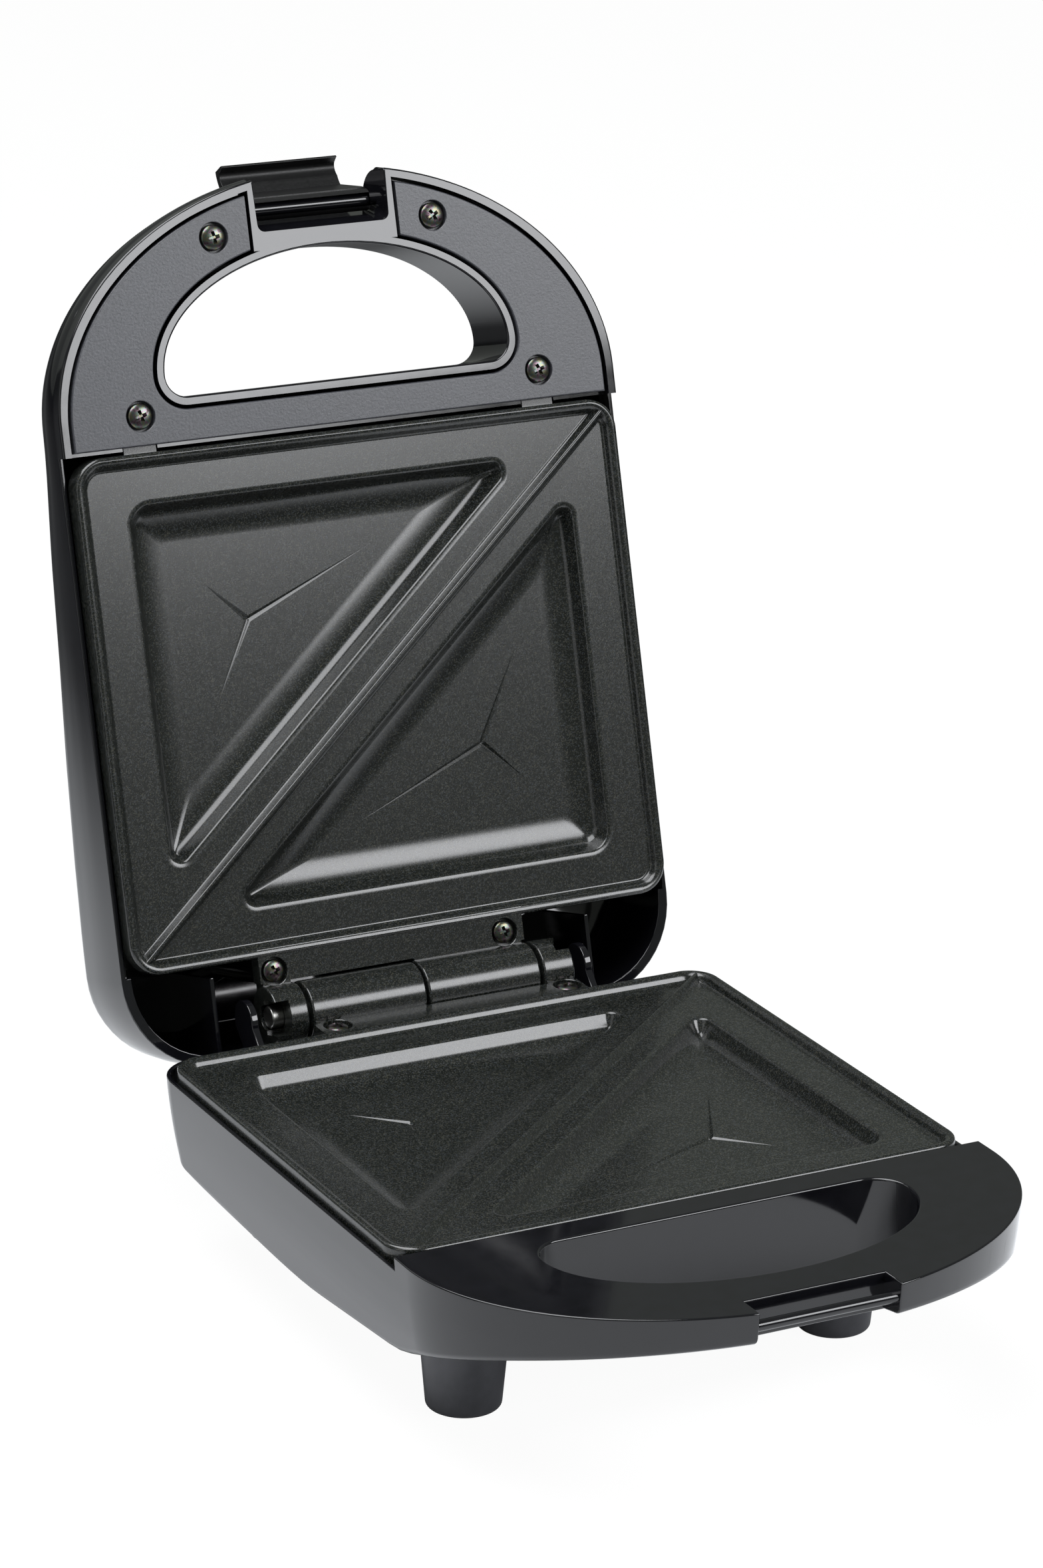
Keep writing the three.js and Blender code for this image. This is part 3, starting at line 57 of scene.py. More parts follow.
mm = 0.001
quarter = math.pi / 2

# The pieces are drawn in millimetres round the hinge plane: z is 0 where the shut plates meet,
# and y is 0 at their back edge. The lid's pieces are drawn shut and then turned open.
hinge = {"back": 12.43, "openAngle": 105.57}

hingePlace = Vector(next(j["pos_m"] for j in frame["joints"] if j["name"] == "lid_hinge"))
latchPlace = Vector(next(j["pos_m"] for j in frame["joints"] if j["name"] == "latch_pivot"))
toHinge = Matrix.Translation(hingePlace)
fromHinge = Matrix.Scale(mm, 4) @ Matrix.Translation((0, -hinge["back"], 0))
turnOpen = Matrix.Rotation(-math.radians(hinge["openAngle"]), 4, "X")
turnOver = Matrix.Rotation(math.pi, 4, "Y")
basePlacing = toHinge @ fromHinge
lidPlacing = toHinge @ turnOpen @ fromHinge
latchPlacing = Matrix.Translation(latchPlace) @ turnOpen @ Matrix.Scale(mm, 4)


# Colours and nodes
def fromHex(text):
    parts = [int(text[i:i + 2], 16) / 255 for i in (1, 3, 5)]
    return tuple(c / 12.92 if c <= 0.04045 else ((c + 0.055) / 1.055) ** 2.4 for c in parts) + (1,)


def addNode(tree, kind, settings=None, inputs=None):
    node = tree.nodes.new(kind)
    for key, value in (settings or {}).items():
        setattr(node, key, value)
    for key, value in (inputs or {}).items():
        if isinstance(value, bpy.types.NodeSocket):
            tree.links.new(value, node.inputs[key])
        else:
            node.inputs[key].default_value = value
    return node


def perMetre(sizeMm):
    return 1 / (sizeMm * mm)  # a pattern's scale from the real size of one cell


def startMaterial(name, shader):
    material = bpy.data.materials.new(name)
    material.use_nodes = True
    tree = material.node_tree
    tree.nodes.clear()
    coords = addNode(tree, "ShaderNodeTexCoord")
    surface = addNode(tree, "ShaderNodeBsdfPrincipled", None, shader)
    addNode(tree, "ShaderNodeOutputMaterial", None, {"Surface": surface.outputs[0]})
    return material, tree, coords.outputs["Object"], surface


def linkTo(tree, output, node, socket):
    tree.links.new(output, node.inputs[socket])


def mottledSkin(name, shader, look):
    # a pattern of the look's own size moves between its two tones, and with them the gloss;
    # a second pattern gives the skin its relief: size in mm, detail, strength, height in mm
    material, tree, place, surface = startMaterial(name, shader)
    fray = look.get("fray", 0.5)
    pattern = addNode(tree, "ShaderNodeTexNoise", None, {
        "Vector": place, "Scale": perMetre(look["patternMm"]), "Detail": look["detail"], "Roughness": fray})
    tone = addNode(tree, "ShaderNodeMix", {"data_type": "RGBA"}, {"Factor": pattern.outputs[0]})
    tone.inputs["A"].default_value = fromHex(look["tones"][0])
    tone.inputs["B"].default_value = fromHex(look["tones"][1])
    linkTo(tree, tone.outputs["Result"], surface, "Base Color")
    if "rough" in look:
        rough = addNode(tree, "ShaderNodeMapRange", None, {
            "Value": pattern.outputs[0], "To Min": look["rough"][0], "To Max": look["rough"][1]})
        linkTo(tree, rough.outputs[0], surface, "Roughness")
    if "relief" in look:
        sizeMm, detail, strength, heightMm = look["relief"]
        relief = addNode(tree, "ShaderNodeTexNoise", None, {
            "Vector": place, "Scale": perMetre(sizeMm), "Detail": detail, "Roughness": fray})
        bump = addNode(tree, "ShaderNodeBump", None, {
            "Height": relief.outputs[0], "Strength": strength, "Distance": heightMm * mm})
        linkTo(tree, bump.outputs[0], surface, "Normal")
    return material


def glossAbs():
    # ABS moulded against polished steel: near black, sharp reflections, a faint waviness of the skin
    return mottledSkin("moulded_gloss_abs", {"IOR": 1.53}, {
        "tones": ("#08080A", "#101014"), "patternMm": 3.5, "detail": 3, "rough": (0.05, 0.11),
        "relief": (14, 1, 0.25, 0.05)})


def erodedAbs():
    # ABS moulded against spark-eroded steel: dark grey, dull, with a fine even grain
    return mottledSkin("moulded_eroded_abs", {"IOR": 1.53, "Roughness": 0.36}, {
        "tones": ("#17181B", "#4A4B51"), "patternMm": 0.5, "detail": 4, "fray": 0.7,
        "relief": (0.5, 4, 0.8, 0.05)})


def satinPolyamide():
    # Nylon moulded in a sanded mould: dark grey, satin, slightly uneven in gloss
    return mottledSkin("moulded_satin_polyamide", {"IOR": 1.53}, {
        "tones": ("#303034", "#424247"), "patternMm": 2.2, "detail": 3, "rough": (0.3, 0.46),
        "relief": (0.3, 2, 0.3, 0.02)})


def blastedAbsAndNotchShade():
    # ABS from a coarsely blasted mould, as on the latch: black, with hardly a gleam; the same black is also laid
    # on the base notch's back wall as painted shade
    return mottledSkin("moulded_blasted_abs", {"IOR": 1.53, "Specular IOR Level": 0.28}, {
        "tones": ("#050505", "#0E0E0F"), "patternMm": 0.5, "detail": 3, "rough": (0.3, 0.5),
        "relief": (0.5, 3, 0.4, 0.03)})


def platedSteel():
    # Bright zinc on drawn and pressed steel: grey metal with fine crystalline mottling
    return mottledSkin("zinc_plated_steel", {"Metallic": 1.0}, {
        "tones": ("#8E8E8B", "#B9B9B6"), "patternMm": 1.6, "detail": 4, "rough": (0.25, 0.45)})


def paleSteatite():
    # Fired steatite: creamy, dull, faintly speckled
    return mottledSkin("fired_steatite", {"IOR": 1.6, "Roughness": 0.55}, {
        "tones": ("#C2BBAA", "#DDD8CB"), "patternMm": 0.7, "detail": 3})


def tintedPolycarbonate(name, shallow, deep):
    # Dyed clear polycarbonate, polished: the colour deepens in faint clouds
    return mottledSkin(name, {"IOR": 1.585, "Roughness": 0.12, "Transmission Weight": 0.35}, {
        "tones": (shallow, deep), "patternMm": 1.8, "detail": 2})


def lampGlass():
    # Drawn soda glass round a small lamp: clear, with a pale bloom of coating
    return mottledSkin("drawn_lamp_glass", {"IOR": 1.52, "Roughness": 0.08, "Transmission Weight": 0.8}, {
        "tones": ("#EDEAE2", "#CFC9BC"), "patternMm": 1.4, "detail": 2})


def nonStickCoat():
    # Sprayed non-stick coat on cast aluminium: charcoal with fine mica flakes, some bluish, some straw,
    # and a satin gleam that sharpens at a low angle
    look = {"coat": "#0D0F0D", "cloud": "#131513", "cool": "#7C8796", "warm": "#9A957F",
            "flakeMm": 0.22, "cloudMm": 6}
    material, tree, place, surface = startMaterial("sprayed_nonstick_coat", {"IOR": 1.55})
    cloud = addNode(tree, "ShaderNodeTexNoise", None, {
        "Vector": place, "Scale": perMetre(look["cloudMm"]), "Detail": 3})
    coat = addNode(tree, "ShaderNodeMix", {"data_type": "RGBA"}, {"Factor": cloud.outputs[0]})
    coat.inputs["A"].default_value = fromHex(look["coat"])
    coat.inputs["B"].default_value = fromHex(look["cloud"])
    cells = addNode(tree, "ShaderNodeTexVoronoi", None, {
        "Vector": place, "Scale": perMetre(look["flakeMm"])})
    pick = addNode(tree, "ShaderNodeSeparateColor", None, {"Color": cells.outputs["Color"]})
    hue = addNode(tree, "ShaderNodeMix", {"data_type": "RGBA"}, {"Factor": pick.outputs[1]})
    hue.inputs["A"].default_value = fromHex(look["cool"])
    hue.inputs["B"].default_value = fromHex(look["warm"])
    shine = addNode(tree, "ShaderNodeMapRange", None, {
        "Value": pick.outputs[0], "From Min": 0.5, "From Max": 1, "To Max": 0.12})
    linkTo(tree, shine.outputs[0], surface, "Metallic")
    tone = addNode(tree, "ShaderNodeMix", {"data_type": "RGBA"}, {
        "Factor": shine.outputs[0], "A": coat.outputs["Result"], "B": hue.outputs["Result"]})
    linkTo(tree, tone.outputs["Result"], surface, "Base Color")
    rough = addNode(tree, "ShaderNodeMapRange", None, {
        "Value": pick.outputs[2], "To Min": 0.17, "To Max": 0.22})
    linkTo(tree, rough.outputs[0], surface, "Roughness")
    return material


def sandedAluminium(name, turn):
    # The casting's edge, sanded on a belt after coating: dull bare aluminium with streaks along it
    look = {"bare": "#8A8882", "dark": "#3A3A39", "streakMm": 0.35, "streakLengthMm": 14,
            "reliefMm": 0.03}
    material, tree, place, surface = startMaterial(name, {"Metallic": 1.0})
    stretch = look["streakMm"] / look["streakLengthMm"]
    flow = addNode(tree, "ShaderNodeMapping", {"vector_type": "TEXTURE"}, {"Vector": place})
    flow.inputs["Rotation"].default_value = (turn, 0, 0)
    flow.inputs["Scale"].default_value = (1 / stretch, 1 / stretch, 1)
    streak = addNode(tree, "ShaderNodeTexNoise", None, {
        "Vector": flow.outputs[0], "Scale": perMetre(look["streakMm"]), "Detail": 3})
    level = addNode(tree, "ShaderNodeMapRange", None, {
        "Value": streak.outputs[0], "From Min": 0.35, "From Max": 0.65})
    tone = addNode(tree, "ShaderNodeMix", {"data_type": "RGBA"}, {"Factor": level.outputs[0]})
    tone.inputs["A"].default_value = fromHex(look["dark"])
    tone.inputs["B"].default_value = fromHex(look["bare"])
    linkTo(tree, tone.outputs["Result"], surface, "Base Color")
    rough = addNode(tree, "ShaderNodeMapRange", None, {
        "Value": streak.outputs[0], "To Min": 0.35, "To Max": 0.6})
    linkTo(tree, rough.outputs[0], surface, "Roughness")
    bump = addNode(tree, "ShaderNodeBump", None, {
        "Height": streak.outputs[0], "Strength": 0.5, "Distance": look["reliefMm"] * mm})
    linkTo(tree, bump.outputs[0], surface, "Normal")
    return material


def chromatedSteel():
    # Zinc-plated steel with a dark chromate dip: oily dark metal with faint rainbow patches
    look = {"patchMm": 0.9, "reliefMm": 0.02, "hues": (
        (0.3, "#3D3A36"), (0.42, "#6A5560"), (0.5, "#4F625C"), (0.6, "#6B6450"), (0.72, "#5B5A52"))}
    material, tree, place, surface = startMaterial("chromated_steel", {"Metallic": 1.0, "Roughness": 0.28})
    patch = addNode(tree, "ShaderNodeTexNoise", None, {
        "Vector": place, "Scale": perMetre(look["patchMm"]), "Detail": 2})
    hues = addNode(tree, "ShaderNodeValToRGB", None, {"Fac": patch.outputs[0]})
    stops = hues.color_ramp.elements
    stops.remove(stops[1])
    for count, (spot, colour) in enumerate(look["hues"]):
        stop = stops.new(spot) if count else stops[0]
        stop.position = spot
        stop.color = fromHex(colour)
    linkTo(tree, hues.outputs[0], surface, "Base Color")
    bump = addNode(tree, "ShaderNodeBump", None, {
        "Height": patch.outputs[0], "Strength": 0.3, "Distance": look["reliefMm"] * mm})
    linkTo(tree, bump.outputs[0], surface, "Normal")
    return material


finishes = {
    "gloss_shell": glossAbs(),
    "matte_cover": erodedAbs(),
    "satin_black": satinPolyamide(),
    "coated_casting": nonStickCoat(),
    "dark_screw": chromatedSteel(),
    "plain_steel": platedSteel(),
    "pale_insulator": paleSteatite(),
    "red_lens": tintedPolycarbonate("dyed_red_polycarbonate", "#B3140F", "#7E0B09"),
    "green_lens": tintedPolycarbonate("dyed_green_polycarbonate", "#1E8A3C", "#0F5A25"),
    "lamp_glass": lampGlass(),
}
# the latch's black, also used as painted shade on the base notch's back wall
latchBlackAndNotchShade = blastedAbsAndNotchShade()
sandedLower = sandedAluminium("belt_sanded_aluminium_lower", 0)
sandedUpper = sandedAluminium("belt_sanded_aluminium_upper", -math.radians(hinge["openAngle"]))

slotOf = {row["node"]: row["material_slot"] for row in frame["record"]["subparts"]}
for nodeName, node in frame["nodes"].items():
    node.data.materials.clear()
    node.data.materials.append(finishes[slotOf[nodeName]])
print("materials made:", len(finishes))

# Sizes that several pieces share, in millimetres
hingeBack = hinge["back"]
overrun = 5  # how far a cut reaches past what it cuts
gap = 0.3  # the room between pieces
hair = 0.05  # points nearer than this count as being at the same place
screwHoles = {"flangeHead": 2.4, "coverHead": 2.7, "headHeight": 1.5, "shank": 1.3, "sunk": 0.2,
              "flangeRoom": 0.6, "coverRoom": 0.5, "chamfer": 0.12, "flangeLength": 11, "coverLength": 7.5,
              "smallLength": 7}
screwHole = screwHoles["shank"] + gap


# Solids, each made as an object of its own and then joined or cut
def toObject(bm, name="solid"):
    bmesh.ops.recalc_face_normals(bm, faces=bm.faces)
    mesh = bpy.data.meshes.new(name)
    bm.to_mesh(mesh)
    bm.free()
    made = bpy.data.objects.new(name, mesh)
    bpy.context.scene.collection.objects.link(made)
    return made


def ringEdges(bm, verts):
    return [bm.edges.get((verts[step - 1], vert)) for step, vert in enumerate(verts)]


def nextRing(bm, verts, points):
    made = bmesh.ops.extrude_edge_only(bm, edges=ringEdges(bm, verts))["geom"]
    fresh = {item for item in made if isinstance(item, bmesh.types.BMVert)}
    moved = []
    for vert, point in zip(verts, points):
        twin = next(edge.other_vert(vert) for edge in vert.link_edges if edge.other_vert(vert) in fresh)
        twin.co = point
        moved.append(twin)
    return moved


def loft(rings, closeLast=True):
    # the first ring is extruded into each of the next; an unclosed last ring has met itself on a spine
    bm = bmesh.new()
    verts = [bm.verts.new(point) for point in rings[0]]
    for step, vert in enumerate(verts):
        bm.edges.new((verts[step - 1], vert))
    bmesh.ops.contextual_create(bm, geom=ringEdges(bm, verts))
    for ring in rings[1:]:
        verts = nextRing(bm, verts, ring)
    if closeLast:
        bmesh.ops.contextual_create(bm, geom=ringEdges(bm, verts))
    bmesh.ops.remove_doubles(bm, verts=bm.verts, dist=0.002)
    return toObject(bm)


def block(xRange, yRange, zRange):
    bm = bmesh.new()
    spans = (xRange, yRange, zRange)
    centre = [(low + high) / 2 for low, high in spans]
    size = [high - low for low, high in spans]
    bmesh.ops.create_cube(bm, size=1, matrix=Matrix.Translation(centre) @ Matrix.Diagonal((*size, 1)))
    return toObject(bm)


def rod(radius, along, span, place, edge=0, segments=64):
    # a round bar along one axis; place gives its two other coordinates in X, Y, Z order
    bm = bmesh.new()
    length = span[1] - span[0]
    bmesh.ops.create_cone(bm, cap_ends=True, segments=segments, radius1=radius, radius2=radius, depth=length)
    if edge:
        rims = [e for e in bm.edges if abs(e.verts[0].co.z - e.verts[1].co.z) < length / 2]
        bmesh.ops.bevel(bm, geom=rims, offset=edge, segments=4, affect="EDGES", profile=0.5, material=-1)
    turns = {"X": Matrix.Rotation(quarter, 4, "Y"), "Y": Matrix.Rotation(quarter, 4, "X"),
             "Z": Matrix.Identity(4)}
    centre = list(place)
    centre.insert("XYZ".index(along), (span[0] + span[1]) / 2)
    bmesh.ops.transform(bm, matrix=Matrix.Translation(centre) @ turns[along], verts=bm.verts)
    return toObject(bm)


def upright(radius, zRange, place):
    # a post, or the hole for a screw or a stud
    return rod(radius, "Z", zRange, place, segments=32)


def onBothSides(place):
    return (-place, place)


def prism(outline, zRange):
    return loft([[(x, y, z) for x, y in outline] for z in zRange])


def sideProfile(outline, xRange):
    return loft([[(x, y, z) for y, z in outline] for x in xRange])


def spun(profile, placing=None, steps=64):
    # a profile of radius and height, from axis to axis, spun round z
    bm = bmesh.new()
    verts = [bm.verts.new((radius, 0, height)) for radius, height in profile]
    edges = [bm.edges.new(pair) for pair in zip(verts, verts[1:])]
    bmesh.ops.spin(bm, geom=verts + edges, cent=(0, 0, 0), axis=(0, 0, 1), angle=4 * quarter, steps=steps,
                   use_merge=True)
    bmesh.ops.remove_doubles(bm, verts=bm.verts, dist=0.001)
    if placing:
        bmesh.ops.transform(bm, matrix=placing, verts=bm.verts)
    return toObject(bm)


def hull(points):
    bm = bmesh.new()
    verts = [bm.verts.new(point) for point in points]
    bmesh.ops.convex_hull(bm, input=verts)
    return toObject(bm)


def copied(item, placing=None):
    twin = item.copy()
    twin.data = item.data.copy()
    bpy.context.scene.collection.objects.link(twin)
    if placing:
        twin.data.transform(placing)
    return twin


def discard(item):
    mesh = item.data
    bpy.data.objects.remove(item)
    bpy.data.meshes.remove(mesh)


def combine(item, tools, operation):
    for tool in tools:
        modifier = item.modifiers.new("combine", "BOOLEAN")
        modifier.operation = operation
        modifier.solver = "MANIFOLD"
        modifier.object = tool
        made = bpy.data.meshes.new_from_object(item.evaluated_get(bpy.context.evaluated_depsgraph_get()))
        item.modifiers.clear()
        old = item.data
        item.data = made
        bpy.data.meshes.remove(old)
        discard(tool)
    return item


def cut(item, *tools):
    return combine(item, tools, "DIFFERENCE")


def join(item, *tools):
    return combine(item, tools, "UNION")


def common(item, *tools):
    return combine(item, tools, "INTERSECT")


def arc(radius, first, last, steps):
    # points from one angle to another, in degrees, round zero
    turns = [math.radians(first + (last - first) * step / steps) for step in range(steps + 1)]
    return [(radius * math.cos(turn), radius * math.sin(turn)) for turn in turns]


def roundEdges(item, width, wanted, segments=3, sharpest=50):
    # bevels the sharp edges that wanted picks by their two ends
    bm = bmesh.new()
    bm.from_mesh(item.data)
    bmesh.ops.remove_doubles(bm, verts=bm.verts, dist=0.003)
    bmesh.ops.dissolve_limit(bm, angle_limit=math.radians(0.4), verts=bm.verts, edges=bm.edges,
                             delimit={"MATERIAL"})
    chosen = []
    for edge in bm.edges:
        if len(edge.link_faces) != 2 or edge.calc_face_angle_signed() < math.radians(sharpest):
            continue
        if wanted(edge.verts[0].co, edge.verts[1].co):
            chosen.append(edge)
    bmesh.ops.bevel(bm, geom=chosen, offset=width, segments=segments, affect="EDGES", profile=0.5,
                    material=-1)
    bm.to_mesh(item.data)
    bm.free()
    return item


def everyEdge(a, b):
    return True


def dress(item, name, placing, body, nodes, slotName, materials=None):
    # names the piece, puts it in its place, gives it its finish and hides the nodes it stands for
    item.name = item.data.name = name
    item.data.transform(placing)
    item.data.materials.clear()
    for material in materials or [finishes[slotName]]:
        item.data.materials.append(material)
    item.data.shade_smooth()
    item.data.set_sharp_from_angle(angle=math.radians(32))
    weighted = item.modifiers.new("weighted", "WEIGHTED_NORMAL")
    weighted.keep_sharp = True
    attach(item, body)
    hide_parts(*nodes)
    return item


def shareAt(shares, place):
    # a smooth curve through shares of a length and of a size
    spots = [spot for spot, size in shares]
    sizes = [size for spot, size in shares]
    last = len(shares) - 1
    if place <= spots[0]:
        return sizes[0]
    if place >= spots[last]:
        return sizes[last]
    step = max(i for i in range(last) if spots[i] <= place)

    def slope(i):
        low, high = max(i - 1, 0), min(i + 1, last)
        return (sizes[high] - sizes[low]) / (spots[high] - spots[low])

    span = spots[step + 1] - spots[step]
    t = (place - spots[step]) / span
    start = sizes[step] * (1 + 2 * t) * (1 - t) ** 2 + slope(step) * span * t * (1 - t) ** 2
    end = sizes[step + 1] * t * t * (3 - 2 * t) - slope(step + 1) * span * t * t * (1 - t)
    return start + end


# Both shells share a plan: straight sides, round back corners and a half-oval handle in front
plan = {"half": 64, "handleStart": 113.6, "handleReach": 47.95, "wall": 2.2, "rimWall": 1, "nest": 6.3,
        "ovalSteps": 48, "sideSteps": 24, "cornerSteps": 12}
planHalf = plan["ovalSteps"] + plan["sideSteps"] + plan["cornerSteps"]
handleEnd = plan["handleStart"] + plan["handleReach"]
farSide = plan["half"] + overrun
farFront = handleEnd + overrun


def planPoint(step, inset, rear, corner):
    if step <= plan["ovalSteps"]:
        angle = quarter * step / plan["ovalSteps"]
        return ((plan["half"] - inset) * math.sin(angle),
                -plan["handleStart"] - (plan["handleReach"] - inset) * math.cos(angle))
    radius = max(corner - inset, plan["wall"] / 2)
    back = rear - inset - radius
    if step <= plan["ovalSteps"] + plan["sideSteps"]:
        share = (step - plan["ovalSteps"]) / plan["sideSteps"]
        return plan["half"] - inset, -plan["handleStart"] + (back + plan["handleStart"]) * share
    angle = quarter * (step - plan["ovalSteps"] - plan["sideSteps"]) / plan["cornerSteps"]
    return (plan["half"] - inset - radius + radius * math.cos(angle), back + radius * math.sin(angle))


def planRing(levelAt, rear, corner, spine=False):
    # levelAt gives the height and the inset at a place from front to back; a spine has no width
    ring = []
    for step in [*range(-planHalf, planHalf + 1), None]:
        whole = planHalf if step is None else abs(step)
        height, inset = levelAt(planPoint(whole, 0, rear, corner)[1])
        x, y = planPoint(whole, inset, rear, corner)
        ring.append((0 if spine or step is None else math.copysign(x, step), y, height))
    return ring


def moonOutline(moon, grow, back):
    # the hand opening: an oval front and a straight back, with rounded corners between
    half, reach, corner = (moon[key] + grow for key in ("half", "reach", "corner"))
    points = []
    for step in range(moon["steps"] + 1):
        angle = math.pi * (1 + step / moon["steps"])
        points.append((half * math.cos(angle), -moon["start"] + reach * math.sin(angle)))
    for side in (1, -1):
        for step in range(moon["cornerSteps"] + 1):
            turn = quarter * step / moon["cornerSteps"] + (0 if side > 0 else quarter)
            x = side * (half - corner) + corner * math.cos(turn)
            y = grow - back - corner + corner * math.sin(turn)
            if y > -moon["start"] + gap:
                points.append((x, y))
    return points


def moonCutter(moon, back, faceUp, lip, zRange):
    # the opening's outline, flared by a round lip where it meets the face
    face, depth = faceUp
    rings = [(0, zRange[0] if depth > 0 else zRange[1])]
    for run, rise in arc(lip, 180, 90, 5):
        rings.append((lip + run, face + depth * (rise - lip)))
    rings.append((lip, zRange[1] if depth > 0 else zRange[0]))
    return loft([[(x, y, z) for x, y in moonOutline(moon, grow, back)] for grow, z in rings])


def roundedPolygon(corners, radii, inset, steps):
    # an anticlockwise polygon with round corners, after each side has moved in by the inset
    count = len(corners)
    points = []
    for place in range(count):
        corner = Vector(corners[place])
        into = (corner - Vector(corners[place - 1])).normalized()
        away = (Vector(corners[(place + 1) % count]) - corner).normalized()
        swing = math.acos(max(-1, min(1, into.dot(away))))
        middle = Vector((-into.y - away.y, into.x + away.x)).normalized()
        point = corner + middle * (inset / math.cos(swing / 2))
        radius = max(radii[place] - inset, radii[place] / 6)
        start = point - into * radius * math.tan(swing / 2)
        centre = start + Vector((-into.y, into.x)) * radius
        first = math.atan2(-into.x, into.y)
        for step in range(steps + 1):
            angle = first + swing * step / steps
            points.append((centre.x + radius * math.cos(angle), centre.y + radius * math.sin(angle)))
    return points


def rectangle(xRange, yRange):
    (left, right), (front, back) = xRange, yRange
    return [(left, front), (right, front), (right, back), (left, back)]


# The two castings are alike: the upper plate is the lower one turned over
plate = {
    "half": 62.5, "depth": 106.9, "top": -0.15, "side": 5.5, "corner": 6.5, "floor": 2.2,
    "rimWidth": 1.8, "rimSlope": 0.96, "rimRound": 0.8, "rimEase": 1.6, "fieldDrop": 1.8, "footRound": 0.8,
    "tabPlace": 46, "tabWidth": 7.2, "tabLength": 3.8, "tabThickness": 1.5, "tabDrop": 3.9,
}
pocket = {"drop": 6.6, "sideMargin": 10.6, "backMargin": 9.5, "ribMargin": 5.8, "corner": 5.9, "tip": 3.6,
          "edgeDegrees": 12, "wallDegrees": 62, "easeDegrees": 20,
          "edgeRound": 4.5, "lipRound": 0.8, "footRound": 3, "easeRound": 16}
rib = {"foot": 2.4, "crest": 1, "drop": 0.15, "crestRound": 0.46, "footRound": 0.7}
star = {"width": 1.4, "depth": 0.5, "lift": 0.1, "centreShares": (0.298, 0.346),
        "tipShares": ((0.222, 0.261), (0.548, 0.225), (0.213, 0.53))}
knuckles = {"radius": 6.5, "inner": 0.3, "outer": 26.6, "endInner": 27.5, "endOuter": 34.7, "edge": 0.45,
            "flangeDrop": 0.35, "flangeThickness": 3.65, "flangeStop": 5.4, "pin": 2.4, "pinEdge": 0.4,
            "pinInner": 10.5,
            "pinOuter": 34.2, "windowLength": 3.2, "windowHalf": 3.6, "screwNear": 22.5, "screwFar": 31.3,
            "screwBack": 3.15}
field = plate["top"] - plate["fieldDrop"]
pocketBottom = plate["top"] - pocket["drop"]
plateUnder = plate["top"] - plate["side"]
diagonal = Vector((2 * plate["half"], plate["depth"])).normalized()
diagonalNormal = Vector((-diagonal.y, diagonal.x))
plateCentre = Vector((0, -plate["depth"] / 2))
flangeTop = -knuckles["flangeDrop"]
flangeUnder = flangeTop - knuckles["flangeThickness"]
headSeat = flangeTop - screwHoles["headHeight"] - screwHoles["sunk"]
screwPlaces = (-knuckles["screwNear"], knuckles["screwFar"])


def plateRing(inset, height):
    half, depth = plate["half"], plate["depth"]
    outline = roundedPolygon(rectangle((-half, half), (-depth, 0)), [plate["corner"]] * 4, inset, 14)
    return [(x, y, height) for x, y in outline]


def plateBlank():
    # one loft from the underside, up the outer wall, over the rim and down its slope to the field
    small = plate["rimRound"]
    top = plate["top"]
    rings = [(small, plateUnder), (0, plateUnder + small)]
    rings += [(small + run, top - small + rise) for run, rise in arc(small, 180, 90, 4)]
    innerEdge = plate["rimWidth"]
    slopeDegrees = math.degrees(math.atan2(plate["fieldDrop"], plate["rimSlope"]))
    ease = plate["rimEase"]
    easeStart = innerEdge - ease * math.tan(math.radians(slopeDegrees / 2))
    rings += [(easeStart + run, top - ease + rise) for run, rise in arc(ease, 90, 90 - slopeDegrees, 5)]
    foot = plate["footRound"]
    footRun = innerEdge + plate["rimSlope"] + foot * math.tan(math.radians(slopeDegrees / 2))
    rings += [(footRun + run, field + foot + rise) for run, rise in arc(foot, 270 - slopeDegrees, 270, 5)]
    return loft([plateRing(inset, height) for inset, height in rings])


def pocketCorners():
    left = -plate["half"] + pocket["sideMargin"]
    rear = -pocket["backMargin"]
    start = plateCentre + diagonalNormal * pocket["ribMargin"]
    alongLeft = start.y + (left - start.x) * diagonal.y / diagonal.x
    alongRear = start.x + (rear - start.y) * diagonal.x / diagonal.y
    return [(left, rear), (left, alongLeft), (alongRear, rear)]


def bend(radius, first, last, steps):
    # the run and the drop of each step of a round, between two slopes in degrees
    slopes = [math.radians(first + (last - first) * step / steps) for step in range(steps + 1)]
    return [(radius * abs(math.sin(b) - math.sin(a)), radius * abs(math.cos(b) - math.cos(a)))
            for a, b in zip(slopes, slopes[1:])]


def pocketProfile():
    # a gentle edge, a round lip, a steep wall, and a foot that eases out into the floor
    edge, wall, ease = pocket["edgeDegrees"], pocket["wallDegrees"], pocket["easeDegrees"]
    upper = bend(pocket["edgeRound"], 1, edge, 4) + bend(pocket["lipRound"], edge, wall, 5)
    lower = bend(pocket["footRound"], wall, ease, 5) + bend(pocket["easeRound"], ease, 0, 8)
    straight = field - pocketBottom - sum(drop for run, drop in upper + lower)
    steps = [*upper, (straight / math.tan(math.radians(wall)), straight), *lower]
    return [(sum(run for run, drop in steps[:count]), -sum(drop for run, drop in steps[:count]))
            for count in range(len(steps) + 1)]


def pocketRings(grow, sink):
    corners = pocketCorners()
    radii = [pocket["corner"] + grow, pocket["tip"] + grow, pocket["tip"] + grow]
    return [[(x, y, field + rise - sink) for x, y in roundedPolygon(corners, radii, run - grow, 10)]
            for run, rise in reversed(pocketProfile())]


def halfTurn(item):
    turn = Matrix.Translation((0, -plate["depth"], 0)) @ Matrix.Rotation(math.pi, 4, "Z")
    return copied(item, turn)


